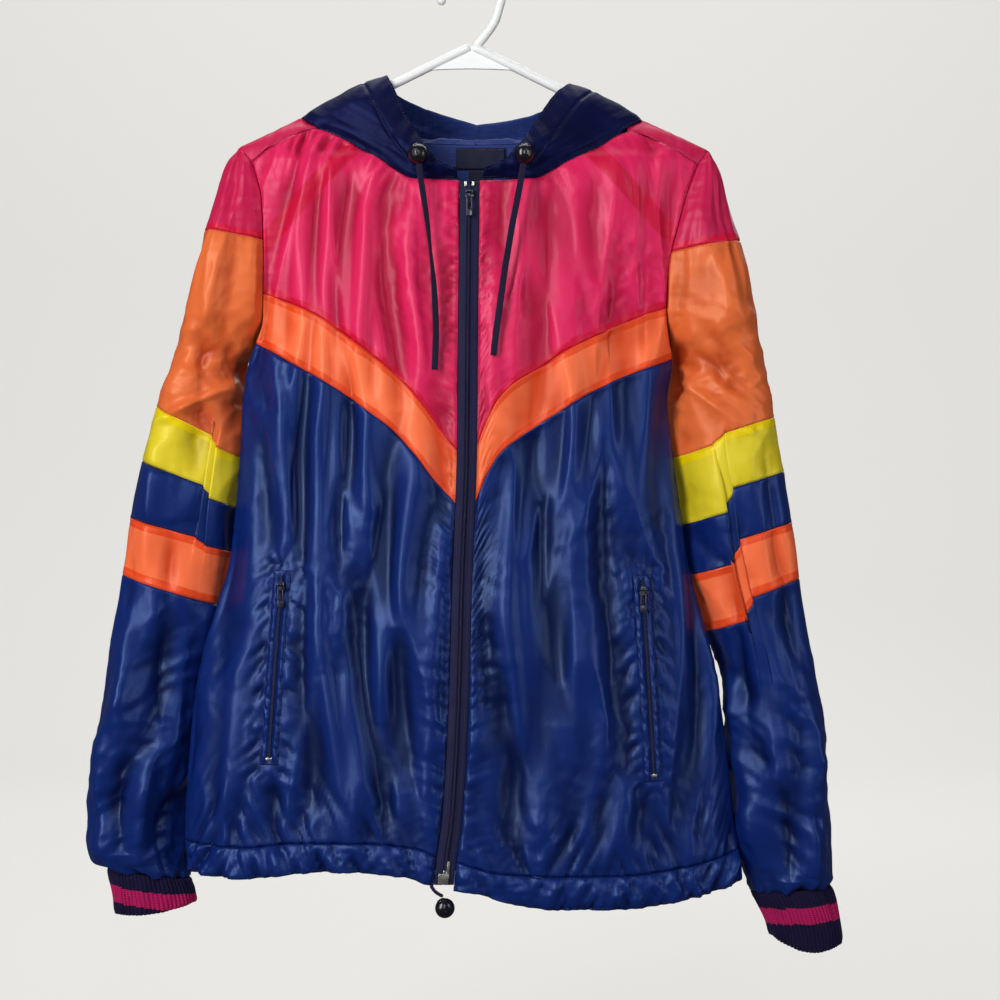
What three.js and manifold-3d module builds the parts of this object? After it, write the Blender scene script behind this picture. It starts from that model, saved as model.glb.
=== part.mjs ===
// A hooded windbreaker jacket with colour-blocked panels, zipped up and hung on a tubular plastic hanger.
// Millimetres, +Z up, the wearer's front faces -Y. The origin is the inside top of the hanger's hook.
import * as THREE from "three";
import { mergeVertices } from "three/addons/utils/BufferGeometryUtils.js";
import Module from "manifold-3d";

const wasm = await Module();
wasm.setup();

// Driving sizes
const CLOTH = 1.2; // wall thickness of every cloth piece
const SEAM = 0.3; // gap between two pieces sewn edge to edge
const CORNER_SEAM = 0.9; // gap where two walls meet at an angle, such as the armhole
const TAPE_HALF = 8.5; // half width of the front zip with its tapes
const COIL_HALF = 2.1;
const ARMPIT_Z = -338;
// Where the shoulder seam starts across a front, 0 at the zip and 1 at the armhole
const SHOULDER_START = 0.66;
const HANGER_TUBE = 8; // hanger tube diameter
const LINING_INSIDE = 1.8; // how far the lining lies inside the back, and the labels inside that
const LABEL_INSIDE = 3.4;
const HOOK_RADIUS = 26; // hook centreline
const CORD_DIAMETER = 4.4;
const STOPPER_RADIUS = 8.4;
const LEFT = -1; // side of the object towards -X, on the left when seen from the front
const RIGHT = 1;

const NAVY = 0x14225a;
const PINK = 0xd92558;
const ORANGE = 0xf2743a;
const YELLOW = 0xe6dc28;
const MAGENTA = 0xb01458;
const BLACK = 0x0a0a18;
const WHITE = 0xf2f2f0;

// Side edge of the body: the armhole seam down to the armpit, then the side seam
const EDGE = {
  [LEFT]: [
    { z: -771, x: -242 }, { z: -743, x: -244 }, { z: -672, x: -241 }, { z: -622, x: -236 },
    { z: -580, x: -228 }, { z: -543, x: -217 }, { z: -504, x: -206 }, { z: -470, x: -202 },
    { z: -412, x: -197 }, { z: -370, x: -195 }, { z: -338, x: -190 }, { z: -319, x: -182 },
    { z: -300, x: -176 }, { z: -243, x: -175 }, { z: -198, x: -177 }, { z: -182, x: -181 },
    { z: -167, x: -186 }, { z: -155, x: -197 },
  ],
  [RIGHT]: [
    { z: -777, x: 231 }, { z: -722, x: 224 }, { z: -652, x: 216 }, { z: -593, x: 207 },
    { z: -554, x: 197 }, { z: -517, x: 187 }, { z: -474, x: 180 }, { z: -415, x: 172 },
    { z: -370, x: 167 }, { z: -338, x: 171 }, { z: -319, x: 168 }, { z: -295, x: 165 },
    { z: -266, x: 166 }, { z: -243, x: 169 }, { z: -224, x: 174 }, { z: -202, x: 180 },
    { z: -184, x: 186 }, { z: -168, x: 193 }, { z: -157, x: 201 },
  ],
};
// Middle of the front zip
const ZIP_LINE = [
  { z: -780, x: -23 }, { z: -752, x: -20 }, { z: -714, x: -15 }, { z: -627, x: -10 },
  { z: -521, x: -7 }, { z: -412, x: -3 }, { z: -286, x: -2 }, { z: -185, x: -1 },
];
// How far the cloth stands from the hanger's plane: at the middle, and at the armhole seam
const DEPTH = [
  { z: -795, front: 50, back: 27, frontRim: 0, backRim: 0 },
  { z: -650, front: 52, back: 28, frontRim: 0, backRim: 0 },
  { z: -500, front: 49, back: 26, frontRim: 0, backRim: 0 },
  { z: -338, front: 44, back: 23, frontRim: 0, backRim: 0 },
  { z: -319, front: 43, back: 22, frontRim: 9, backRim: 6 },
  { z: -290, front: 41, back: 21, frontRim: 16, backRim: 11 },
  { z: -243, front: 37, back: 19, frontRim: 19, backRim: 13 },
  { z: -200, front: 32, back: 17, frontRim: 16, backRim: 11 },
  { z: -182, front: 29, back: 15, frontRim: 13, backRim: 9 },
  { z: -167, front: 25, back: 13, frontRim: 9, backRim: 7 },
  { z: -157, front: 18, back: 12, frontRim: 4.2, backRim: 3.4 },
  { z: -150, front: 15, back: 11, frontRim: 0, backRim: 0 },
  { z: -135, front: 9, back: 9, frontRim: 0, backRim: 0 },
];
// Seam heights across one front: a is 0 at the zip and 1 at the side edge
const FRONT_LINES = {
  [LEFT]: {
    hem: [
      { a: 0, z: -773 }, { a: 0.14, z: -765 }, { a: 0.38, z: -762 }, { a: 0.54, z: -764 },
      { a: 0.77, z: -770 }, { a: 1, z: -768 },
    ],
    hemTop: [
      { a: 0, z: -749 }, { a: 0.07, z: -743 }, { a: 0.31, z: -738 }, { a: 0.54, z: -739 },
      { a: 0.77, z: -744 }, { a: 1, z: -742 },
    ],
    bandLow: [
      { a: 0, z: -456 }, { a: 0.11, z: -434 }, { a: 0.2, z: -413 }, { a: 0.3, z: -394 },
      { a: 0.44, z: -375 }, { a: 0.55, z: -361 }, { a: 0.71, z: -345 }, { a: 0.89, z: -329 },
      { a: 1, z: -321 },
    ],
    bandHigh: [
      { a: 0, z: -412 }, { a: 0.08, z: -395 }, { a: 0.15, z: -376 }, { a: 0.25, z: -355 },
      { a: 0.4, z: -333 }, { a: 0.57, z: -314 }, { a: 0.75, z: -296 }, { a: 1, z: -279 },
    ],
    top: [
      { a: 0, z: -186 }, { a: 0.23, z: -184 }, { a: 0.31, z: -176 }, { a: 0.41, z: -163 },
      { a: 0.52, z: -149 }, { a: 0.66, z: -139 }, { a: 0.83, z: -152 }, { a: 1, z: -167 },
    ],
  },
  [RIGHT]: {
    hem: [
      { a: 0, z: -777 }, { a: 0.09, z: -780 }, { a: 0.15, z: -785 }, { a: 0.23, z: -790 },
      { a: 0.37, z: -794 }, { a: 0.57, z: -794 }, { a: 0.81, z: -787 }, { a: 1, z: -776 },
    ],
    hemTop: [
      { a: 0, z: -753 }, { a: 0.15, z: -763 }, { a: 0.36, z: -766 }, { a: 0.57, z: -766 },
      { a: 0.81, z: -760 }, { a: 1, z: -749 },
    ],
    bandLow: [
      { a: 0, z: -456 }, { a: 0.04, z: -436 }, { a: 0.12, z: -414 }, { a: 0.23, z: -400 },
      { a: 0.43, z: -379 }, { a: 0.63, z: -360 }, { a: 0.83, z: -345 }, { a: 1, z: -334 },
    ],
    bandHigh: [
      { a: 0, z: -408 }, { a: 0.05, z: -386 }, { a: 0.11, z: -369 }, { a: 0.2, z: -355 },
      { a: 0.32, z: -343 }, { a: 0.42, z: -332 }, { a: 0.63, z: -315 }, { a: 0.85, z: -300 },
      { a: 1, z: -291 },
    ],
    top: [
      { a: 0, z: -186 }, { a: 0.26, z: -184 }, { a: 0.36, z: -174 }, { a: 0.51, z: -157 },
      { a: 0.66, z: -142 }, { a: 0.83, z: -155 }, { a: 1, z: -170 },
    ],
  },
};
// Seam heights across the back: a is -1 at the left edge and 1 at the right edge
const BACK_LINES = {
  hem: [{ a: -1, z: -768 }, { a: -0.4, z: -772 }, { a: 0.4, z: -778 }, { a: 1, z: -776 }],
  hemTop: [{ a: -1, z: -742 }, { a: 0, z: -746 }, { a: 1, z: -749 }],
  bandLow: [{ a: -1, z: -321 }, { a: 0, z: -352 }, { a: 1, z: -334 }],
  bandHigh: [{ a: -1, z: -279 }, { a: 0, z: -306 }, { a: 1, z: -291 }],
  top: [
    { a: -1, z: -167 }, { a: -0.78, z: -148 }, { a: -0.66, z: -142 }, { a: -0.4, z: -148 }, { a: 0, z: -151 },
    { a: 0.4, z: -148 }, { a: 0.66, z: -144 }, { a: 0.78, z: -150 }, { a: 1, z: -169 },
  ],
};
// Hanging folds: a line from its top (x0, z0) to its foot (x1, z1), its half width, and its height out of the
// cloth
const FRONT_FOLDS = [
  { x0: -178, z0: -330, x1: -196, z1: -560, half: 11, out: 3.5 },
  { x0: -160, z0: -350, x1: -150, z1: -500, half: 9, out: 4.5 },
  { x0: -134, z0: -190, x1: -152, z1: -480, half: 8, out: 3.5 },
  { x0: -118, z0: -160, x1: -128, z1: -610, half: 11, out: 4.5 },
  { x0: -96, z0: -330, x1: -112, z1: -560, half: 8, out: -5 },
  { x0: -92, z0: -200, x1: -84, z1: -470, half: 9, out: 4 },
  { x0: -60, z0: -380, x1: -98, z1: -600, half: 10, out: -6 },
  { x0: -42, z0: -400, x1: -72, z1: -640, half: 10, out: 5 },
  { x0: -56, z0: -230, x1: -36, z1: -360, half: 9, out: 4 },
  { x0: -24, z0: -470, x1: -38, z1: -740, half: 8, out: 5 },
  { x0: -118, z0: -600, x1: -100, z1: -745, half: 14, out: 6 },
  { x0: -62, z0: -560, x1: -66, z1: -745, half: 12, out: -6 },
  { x0: -190, z0: -560, x1: -214, z1: -745, half: 13, out: 6 },
  { x0: -158, z0: -690, x1: -160, z1: -750, half: 16, out: -5 },
  { x0: 22, z0: -200, x1: 16, z1: -420, half: 7, out: 3 },
  { x0: 46, z0: -220, x1: 30, z1: -400, half: 10, out: 4.5 },
  { x0: 66, z0: -190, x1: 62, z1: -380, half: 8, out: -4.5 },
  { x0: 90, z0: -160, x1: 84, z1: -480, half: 10, out: 4 },
  { x0: 112, z0: -190, x1: 122, z1: -480, half: 9, out: 4 },
  { x0: 150, z0: -200, x1: 146, z1: -470, half: 9, out: 4 },
  { x0: 34, z0: -430, x1: 30, z1: -620, half: 11, out: 5 },
  { x0: 52, z0: -400, x1: 76, z1: -640, half: 10, out: -6 },
  { x0: 84, z0: -420, x1: 88, z1: -740, half: 11, out: 6 },
  { x0: 112, z0: -400, x1: 116, z1: -640, half: 10, out: -5 },
  { x0: 170, z0: -380, x1: 184, z1: -640, half: 10, out: 4 },
  { x0: 24, z0: -590, x1: 44, z1: -765, half: 12, out: -7 },
  { x0: 128, z0: -680, x1: 112, z1: -760, half: 13, out: 6 },
  { x0: 190, z0: -600, x1: 196, z1: -750, half: 13, out: -5 },
];
const BACK_FOLDS = [
  { x0: -150, z0: -330, x1: -190, z1: -745, half: 14, out: 5 },
  { x0: -110, z0: -190, x1: -130, z1: -700, half: 12, out: 4.5 },
  { x0: -72, z0: -340, x1: -84, z1: -745, half: 12, out: -4.5 },
  { x0: -36, z0: -200, x1: -40, z1: -720, half: 14, out: 5 },
  { x0: 8, z0: -350, x1: 0, z1: -745, half: 12, out: -4 },
  { x0: 44, z0: -200, x1: 46, z1: -735, half: 13, out: 5 },
  { x0: 86, z0: -330, x1: 96, z1: -745, half: 12, out: -4.5 },
  { x0: 118, z0: -190, x1: 136, z1: -720, half: 12, out: 4.5 },
  { x0: 146, z0: -350, x1: 182, z1: -745, half: 14, out: 4.5 },
];
const GATHER_OUT = 2; // height of the elastic hem's gathers, one to every second column of a panel
const GATHER_RISE = 60; // how far above the hem's seam they run out

// Sleeve levels from the shoulder down: the outer silhouette point, the height of the inner edge, how far the
// inner
// edge lies from the body, how open the level is towards the armhole, and the depths to the front and the
// back
const SLEEVE = {
  [LEFT]: [
    { outX: -199, outZ: -155.5, inZ: -157, clear: 0.4, open: 1, front: 1, back: 1 },
    { outX: -207, outZ: -166, inZ: -169, clear: 0.4, open: 1, front: 5, back: 4 },
    { outX: -217, outZ: -193, inZ: -198, clear: 0.4, open: 1, front: 10, back: 8 },
    { outX: -228, outZ: -225, inZ: -234, clear: 0.4, open: 1, front: 17, back: 14 },
    { outX: -239, outZ: -273, inZ: -286, clear: 0.4, open: 1, front: 25, back: 19 },
    { outX: -251, outZ: -323, inZ: -338, clear: 2, open: 0.15, front: 31, back: 22 },
    { outX: -261, outZ: -353, inZ: -382, clear: -1, open: 0, front: 34, back: 23 },
    { outX: -268, outZ: -374, inZ: -418, clear: -1, open: 0, front: 34, back: 24 },
    { outX: -280, outZ: -420, inZ: -460, clear: -1, open: 0, front: 34, back: 24 },
    { outX: -291, outZ: -468, inZ: -498, clear: -1, open: 0, front: 33, back: 24 },
    { outX: -297, outZ: -517, inZ: -543, clear: -1, open: 0, front: 33, back: 24 },
    { outX: -308, outZ: -580, inZ: -595, clear: -1, open: 0, front: 32, back: 24 },
    { outX: -318, outZ: -647, inZ: -659, clear: -1, open: 0, front: 32, back: 24 },
    { outX: -326, outZ: -706, inZ: -718, clear: -1, open: 0, front: 32, back: 24 },
    { outX: -328, outZ: -739, inZ: -750, clear: -1, open: 0, front: 30, back: 24 },
    { outX: -322, outZ: -760, inZ: -770, clear: -1, open: 0, front: 26, back: 22 },
    { outX: -309, outZ: -765, inZ: -777, clear: 1, open: 0, front: 20, back: 18 },
  ],
  [RIGHT]: [
    { outX: 203, outZ: -157.5, inZ: -159, clear: 0.4, open: 1, front: 1, back: 1 },
    { outX: 212, outZ: -176, inZ: -173, clear: 0.4, open: 1, front: 5, back: 4 },
    { outX: 220, outZ: -206, inZ: -204, clear: 0.4, open: 1, front: 10, back: 8 },
    { outX: 228, outZ: -234, inZ: -244, clear: 0.4, open: 1, front: 17, back: 14 },
    { outX: 239, outZ: -284, inZ: -292, clear: 0.4, open: 1, front: 25, back: 19 },
    { outX: 248, outZ: -330, inZ: -338, clear: 2, open: 0.15, front: 31, back: 22 },
    { outX: 253, outZ: -357, inZ: -378, clear: 0, open: 0, front: 34, back: 23 },
    { outX: 258, outZ: -383, inZ: -418, clear: -1, open: 0, front: 34, back: 24 },
    { outX: 267, outZ: -429, inZ: -475, clear: -1, open: 0, front: 34, back: 24 },
    { outX: 273, outZ: -472, inZ: -518, clear: -1, open: 0, front: 33, back: 24 },
    { outX: 279, outZ: -520, inZ: -566, clear: 1, open: 0, front: 33, back: 24 },
    { outX: 289, outZ: -584, inZ: -617, clear: 6, open: 0, front: 32, back: 24 },
    { outX: 298, outZ: -643, inZ: -672, clear: 1, open: 0, front: 32, back: 24 },
    { outX: 305, outZ: -706, inZ: -727, clear: 1, open: 0, front: 32, back: 24 },
    { outX: 309, outZ: -752, inZ: -764, clear: 1, open: 0, front: 30, back: 24 },
    { outX: 309, outZ: -774, inZ: -781, clear: 6, open: 0, front: 26, back: 22 },
    { outX: 305, outZ: -781, inZ: -789, clear: 9, open: 0, front: 20, back: 18 },
  ],
};
// The sleeve's pieces, from one level to the next, with the panel's grid of rows
const SLEEVE_PIECES = [
  { name: "cap", from: 0, to: 3, rows: 3, colour: PINK },
  { name: "upper", from: 3, to: 7, rows: 5, colour: ORANGE },
  { name: "yellow_band", from: 7, to: 8, rows: 1, colour: YELLOW },
  { name: "navy_band", from: 8, to: 9, rows: 1, colour: NAVY },
  { name: "orange_band", from: 9, to: 10, rows: 1, colour: ORANGE },
  { name: "lower", from: 10, to: 16, rows: 8, colour: NAVY },
];
// Cuffs: the foot's outer and inner edge seen from the front, and how much lower its middle hangs
const CUFFS = {
  [LEFT]: { outX: -304, outZ: -805, inX: -237, inZ: -798, sag: 3 },
  [RIGHT]: { outX: 316, outZ: -830, inX: 256, inZ: -826, sag: 9 },
};
const CUFF_GAP = 1.1;
const CUFF_RIBS = 24;
// Lengthwise tuck down each sleeve's front, where the cloth is caught under itself and the bands step
const TUCK = {
  [LEFT]: { at: 0.3, step: 9, lift: 3, top: 6, foot: 8 },
  [RIGHT]: { at: 0.4, step: 19, lift: 5, top: 6.5, foot: 12 },
};
const SLEEVE_BEHIND = 14; // how far behind the side seam the underarm seam hangs
const TUCK_WIDTH = 0.1; // part of the front half of a sleeve, one column of its panels

// Hood stations from the zip (t = 0) over the shoulder (t = 0.5) to the back's middle (t = 1): neck seam and
// rim
const HOOD = {
  [LEFT]: {
    neck: [
      { t: 0, x: -11, y: -30, z: -184.5 }, { t: 0.12, x: -49, y: -30, z: -182.5 },
      { t: 0.2, x: -64, y: -27, z: -174.5 },
      { t: 0.28, x: -83, y: -21, z: -161.5 }, { t: 0.37, x: -107, y: -15, z: -146.5 },
      { t: 0.45, x: -131, y: -11, z: -137 },
      { t: 0.5, x: -145, y: 0, z: -128 }, { t: 0.56, x: -131, y: 10, z: -138.5 },
      { t: 0.68, x: -92, y: 12, z: -144 },
      { t: 0.84, x: -44, y: 13, z: -147.5 }, { t: 1, x: 4, y: 13.5, z: -149 },
    ],
    rim: [
      { t: 0, x: -12, y: -36, z: -176 }, { t: 0.12, x: -26, y: -36, z: -171 },
      { t: 0.2, x: -35, y: -33, z: -160 },
      { t: 0.28, x: -46, y: -27, z: -145 }, { t: 0.37, x: -56, y: -20, z: -126 },
      { t: 0.45, x: -66, y: -11, z: -103 },
      { t: 0.5, x: -72, y: 0, z: -91.5 }, { t: 0.56, x: -67, y: 12, z: -103 },
      { t: 0.68, x: -50, y: 25, z: -111 },
      { t: 0.84, x: -26, y: 36, z: -118 }, { t: 1, x: 4, y: 41, z: -126 },
    ],
  },
  [RIGHT]: {
    neck: [
      { t: 0, x: 9, y: -30, z: -184.5 }, { t: 0.12, x: 54, y: -30, z: -182.5 },
      { t: 0.2, x: 72, y: -27, z: -173.5 },
      { t: 0.28, x: 90, y: -21, z: -162 }, { t: 0.37, x: 108, y: -15, z: -149.5 },
      { t: 0.45, x: 129, y: -11, z: -139 },
      { t: 0.5, x: 146, y: 0, z: -130 }, { t: 0.56, x: 132, y: 11, z: -140.5 },
      { t: 0.68, x: 98, y: 12, z: -145 },
      { t: 0.84, x: 50, y: 13, z: -147.5 }, { t: 1, x: 4, y: 13.5, z: -149 },
    ],
    rim: [
      { t: 0, x: 12, y: -36, z: -176 }, { t: 0.12, x: 28, y: -36, z: -169 },
      { t: 0.2, x: 37, y: -33, z: -159 },
      { t: 0.28, x: 48, y: -27, z: -146 }, { t: 0.37, x: 58, y: -20, z: -129 },
      { t: 0.45, x: 72, y: -11, z: -108 },
      { t: 0.5, x: 84, y: 0, z: -98.5 }, { t: 0.56, x: 72, y: 12, z: -113 },
      { t: 0.68, x: 54, y: 25, z: -120 },
      { t: 0.84, x: 28, y: 36, z: -124 }, { t: 1, x: 4, y: 41, z: -126 },
    ],
  },
};
const HOOD_COLUMNS = 18;
// The hood's fall behind the back at its middle: v runs from the neck seam to the rim
const HOOD_FALL = [
  { v: 0, back: 0, up: 0 }, { v: 0.07, back: 2, up: 10 }, { v: 0.15, back: 8, up: -5 },
  { v: 0.32, back: 10, up: -107 },
  { v: 0.5, back: 17, up: -190 }, { v: 0.68, back: 30, up: -120 }, { v: 0.86, back: 20, up: -35 },
  { v: 1, back: 0, up: 0 },
];
// Drawcord routes, from the stopper down to the free end
const DRAWCORDS = {
  [LEFT]: [
    [-43, -46, -174.9], [-40.5, -48, -192], [-38, -49.5, -208], [-35.5, -49.5, -226], [-33.5, -50, -244],
    [-31.5, -50.5, -262], [-30, -51, -280], [-29, -51.5, -298], [-28.5, -52, -316], [-29, -52, -332],
    [-29.5, -52, -346],
  ],
  [RIGHT]: [
    [44, -46.4, -174.9], [41, -48, -192], [38, -49.5, -208], [34.5, -49.5, -226], [31.5, -50, -244],
    [28.5, -50.5, -262], [26, -51, -280], [23.5, -51.5, -298], [21, -52, -316], [19, -52, -334],
  ],
};
const STOPPERS = { [LEFT]: [-44, -45, -166], [RIGHT]: [45, -45.5, -166] };
const HEM_TOGGLE = [-21, -56, -790];
const HEM_CORD = [[-33, -53, -771.7], [-29, -55.5, -776.5], [-22.5, -56, -780.5]];
// Zipped pocket openings in the fronts: top and foot of the slot
const POCKETS = {
  [LEFT]: { x0: -157, z0: -512, x1: -168, z1: -674 },
  [RIGHT]: { x0: 143, z0: -516, x1: 153, z1: -688 },
};
const POCKET_HALF = 7.5;

const root = new THREE.Group();
const vec = (x, y, z) => new THREE.Vector3(x, y, z);
const clamp01 = (t) => Math.min(1, Math.max(0, t));
const smooth = (t) => clamp01(t) ** 2 * (3 - 2 * clamp01(t));
const mix = (p, q, t) => p + (q - p) * t;

// Value of one column of a table at a key, by a cubic through its rows that never overshoots them
function along(table, key, column, at) {
  const rows = table;
  const last = rows.length - 1;
  if (at <= rows[0][key]) return rows[0][column];
  if (at >= rows[last][key]) return rows[last][column];
  let i = 0;
  while (rows[i + 1][key] < at) i += 1;
  const rate = (j) => (rows[j + 1][column] - rows[j][column]) / (rows[j + 1][key] - rows[j][key]);
  const slope = (j) => {
    const before = rate(Math.max(0, j - 1));
    const after = rate(Math.min(last - 1, j));
    return before * after > 0 ? (2 * before * after) / (before + after) : 0;
  };
  const span = rows[i + 1][key] - rows[i][key];
  const t = (at - rows[i][key]) / span;
  const rise = t * t * (3 - 2 * t);
  return (
    mix(rows[i][column], rows[i + 1][column], rise) +
    span * (t * (1 - t) ** 2 * slope(i) - t * t * (1 - t) * slope(i + 1))
  );
}

const zipX = (z) => along(ZIP_LINE, "z", "x", z);
const edgeX = (side, z) => along(EDGE[side], "z", "x", z);
const depth = (column, z) => along(DEPTH, "z", column, z);

// Cross-section of the body: 1 at the middle and 0 at the edge, round below the armpit, flat at the armhole
// and
// full over the hanger's arms
function section(a, z) {
  const round = 0.5 + 0.5 * smooth((z - ARMPIT_Z) / 40);
  const fullness = 2.4 + 4 * smooth((z + 205) / 45);
  return Math.max(0, 1 - Math.abs(a) ** fullness) ** round;
}

// Sum of the folds at a point, each fading out at its two ends
function foldsAt(folds, x, z) {
  let out = 0;
  for (const f of folds) {
    const t = (f.z0 - z) / (f.z0 - f.z1);
    if (t <= 0 || t >= 1) continue;
    const away = (x - mix(f.x0, f.x1, t)) / f.half;
    out += f.out * Math.exp(-away * away) * Math.sin(Math.PI * t) ** 0.6;
  }
  return out;
}

// The zip of a pocket holds the cloth flat beside it
function pocketHold(side, x, z) {
  const k = POCKETS[side];
  const middle = mix(k.x0, k.x1, (k.z0 - z) / (k.z0 - k.z1));
  const beside = smooth((Math.abs(x - middle) - 8) / 12);
  const beyond = smooth((Math.abs(z - (k.z0 + k.z1) / 2) - (k.z0 - k.z1) / 2) / 25);
  return Math.max(beside, beyond);
}

// The gathers of the elastic hem: wave is 1 on a crest and -1 in a hollow
const gather = (wave, z, hemTop) => wave * GATHER_OUT * (1 - smooth((z - hemTop) / GATHER_RISE));

function frontPoint(side, a, z, wave = 0) {
  const inner = zipX(z) + side * TAPE_HALF;
  const x = mix(inner, edgeX(side, z), a);
  const rim = depth("frontRim", z);
  const hemTop = along(FRONT_LINES[side].hemTop, "a", "z", a);
  const held = smooth(a / 0.06) * smooth((1 - a) / 0.12);
  const relief = foldsAt(FRONT_FOLDS, x, z) * pocketHold(side, x, z) + gather(wave, z, hemTop);
  return vec(x, -(rim + (depth("front", z) - rim) * section(a, z) + relief * held), z);
}

function backPoint(a, z, wave = 0) {
  const left = edgeX(LEFT, z);
  const right = edgeX(RIGHT, z);
  const x = mix(left, right, (a + 1) / 2);
  const rim = depth("backRim", z);
  const hemTop = along(BACK_LINES.hemTop, "a", "z", a);
  const held = smooth((1 - Math.abs(a)) / 0.12);
  const relief = foldsAt(BACK_FOLDS, x, z) + gather(wave, z, hemTop);
  return vec(x, rim + (depth("back", z) - rim) * section(a, z) + relief * held, z);
}

// A closed wall about a grid of points. outward is +1 where across x down faces out. edges holds the
// insets at the first and last column and the first and last row.
function wall(grid, outward, edges, thickness = CLOTH, ribs = null) {
  const columns = grid.length;
  const rows = grid[0].length;
  const [left, right, bottom, top] = edges;
  const pulled = grid.map((line) => line.map((p) => p.clone()));
  const pull = (p, q, by) => p.add(q.clone().sub(p).setLength(by));
  for (let j = 0; j < rows; j += 1) {
    pull(pulled[0][j], grid[1][j], left);
    pull(pulled[columns - 1][j], grid[columns - 2][j], right);
  }
  for (let i = 0; i < columns; i += 1) {
    pull(pulled[i][0], grid[i][1], bottom);
    pull(pulled[i][rows - 1], grid[i][rows - 2], top);
  }
  const positions = [];
  const normalAt = (i, j) => {
    const across = pulled[Math.min(columns - 1, i + 1)][j].clone().sub(pulled[Math.max(0, i - 1)][j]);
    const down = pulled[i][Math.min(rows - 1, j + 1)].clone().sub(pulled[i][Math.max(0, j - 1)]);
    return across.cross(down).normalize().multiplyScalar(outward);
  };
  for (const face of [1, -1]) {
    for (let i = 0; i < columns; i += 1) {
      for (let j = 0; j < rows; j += 1) {
        const raised = face > 0 && ribs ? ribs(i, j) : 0;
        const p = pulled[i][j].clone().addScaledVector(normalAt(i, j), face * (thickness / 2) + raised);
        positions.push(p.x, p.y, p.z);
      }
    }
  }
  const half = columns * rows;
  const at = (i, j, back) => i * rows + j + (back ? half : 0);
  const faces = [];
  const quad = (p, q, r, s) => (outward > 0 ? faces.push(p, q, r, p, r, s) : faces.push(p, r, q, p, s, r));
  for (let i = 0; i < columns - 1; i += 1) {
    for (let j = 0; j < rows - 1; j += 1) {
      quad(at(i, j), at(i + 1, j), at(i + 1, j + 1), at(i, j + 1));
      quad(at(i, j, 1), at(i, j + 1, 1), at(i + 1, j + 1, 1), at(i + 1, j, 1));
    }
    quad(at(i, 0), at(i, 0, 1), at(i + 1, 0, 1), at(i + 1, 0));
    quad(at(i, rows - 1), at(i + 1, rows - 1), at(i + 1, rows - 1, 1), at(i, rows - 1, 1));
  }
  for (let j = 0; j < rows - 1; j += 1) {
    quad(at(0, j), at(0, j + 1), at(0, j + 1, 1), at(0, j, 1));
    quad(at(columns - 1, j), at(columns - 1, j, 1), at(columns - 1, j + 1, 1), at(columns - 1, j + 1));
  }
  const geometry = new THREE.BufferGeometry();
  geometry.setAttribute("position", new THREE.Float32BufferAttribute(positions, 3));
  geometry.setIndex(faces);
  return geometry;
}

function gridOf(columns, rows, pointAt) {
  const grid = [];
  for (let i = 0; i <= columns; i += 1) {
    grid.push([]);
    for (let j = 0; j <= rows; j += 1) grid[i].push(pointAt(i / columns, j / rows));
  }
  return grid;
}

function add(name, geometry, colour, roughness = 0.45, metalness = 0) {
  const material = new THREE.MeshStandardMaterial({ color: colour, roughness, metalness });
  const mesh = new THREE.Mesh(geometry, material);
  mesh.name = name;
  root.add(mesh);
  return mesh;
}

const panels = {}; // grids of the front panels, by name

const sideName = (side) => (side === LEFT ? "left" : "right");

// Columns crowd towards the side edge, where the section turns
const spreadToEdge = (u) => Math.sin((u * Math.PI) / 2) ** 0.9;

function frontPanel(side, low, high, columns, rows) {
  const lines = FRONT_LINES[side];
  return gridOf(columns, rows, (u, v) => {
    const a = mix(u, spreadToEdge(u), 0.6);
    const z = mix(along(lines[low], "a", "z", a), along(lines[high], "a", "z", a), v);
    return frontPoint(side, a, z, Math.cos(Math.PI * columns * u));
  });
}

function buildFronts() {
  const columns = 24;
  const edges = [SEAM / 2, CORNER_SEAM / 2, SEAM / 2, SEAM / 2];
  const pieces = [
    { name: "front_hem", low: "hem", high: "hemTop", rows: 1, colour: NAVY },
    { name: "front_lower", low: "hemTop", high: "bandLow", rows: 9, colour: NAVY },
    { name: "front_band", low: "bandLow", high: "bandHigh", rows: 2, colour: ORANGE },
    { name: "front_yoke", low: "bandHigh", high: "top", rows: 5, colour: PINK },
  ];
  for (const side of [LEFT, RIGHT]) {
    for (const p of pieces) {
      const grid = frontPanel(side, p.low, p.high, columns, p.rows);
      add(`${p.name}_${sideName(side)}`, wall(grid, side, edges), p.colour);
      panels[`${p.name}_${sideName(side)}`] = grid;
    }
  }
}

function buildBack() {
  const columns = 26;
  const edges = [CORNER_SEAM / 2, CORNER_SEAM / 2, SEAM / 2, SEAM / 2];
  const pieces = [
    { name: "back_hem", low: "hem", high: "hemTop", rows: 1, colour: NAVY },
    { name: "back_lower", low: "hemTop", high: "bandLow", rows: 7, colour: NAVY },
    { name: "back_band", low: "bandLow", high: "bandHigh", rows: 2, colour: ORANGE },
    { name: "back_yoke", low: "bandHigh", high: "top", rows: 4, colour: PINK },
  ];
  for (const p of pieces) {
    const grid = gridOf(columns, p.rows, (u, v) => {
      const turn = Math.sin((u - 0.5) * Math.PI);
      const a = mix(2 * u - 1, Math.sign(turn) * Math.abs(turn) ** 0.9, 0.6);
      const z = mix(along(BACK_LINES[p.low], "a", "z", a), along(BACK_LINES[p.high], "a", "z", a), v);
      return backPoint(a, z, Math.cos(Math.PI * columns * u));
    });
    panels[p.name] = grid;
    add(p.name, wall(grid, -1, edges), p.colour);
  }
}

// The straight stretches of the hood's neck edge on either side of the ridge, v being 0 in front and 1 behind
function hoodSeam(side, v) {
  const ridge = hoodPoint(side, 0.5, 0);
  const step = 1 / HOOD_COLUMNS;
  if (v < 0.5) return hoodPoint(side, 0.5 - step, 0).lerp(ridge, 2 * v);
  return ridge.lerp(hoodPoint(side, 0.5 + step, 0), 2 * v - 1);
}

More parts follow.
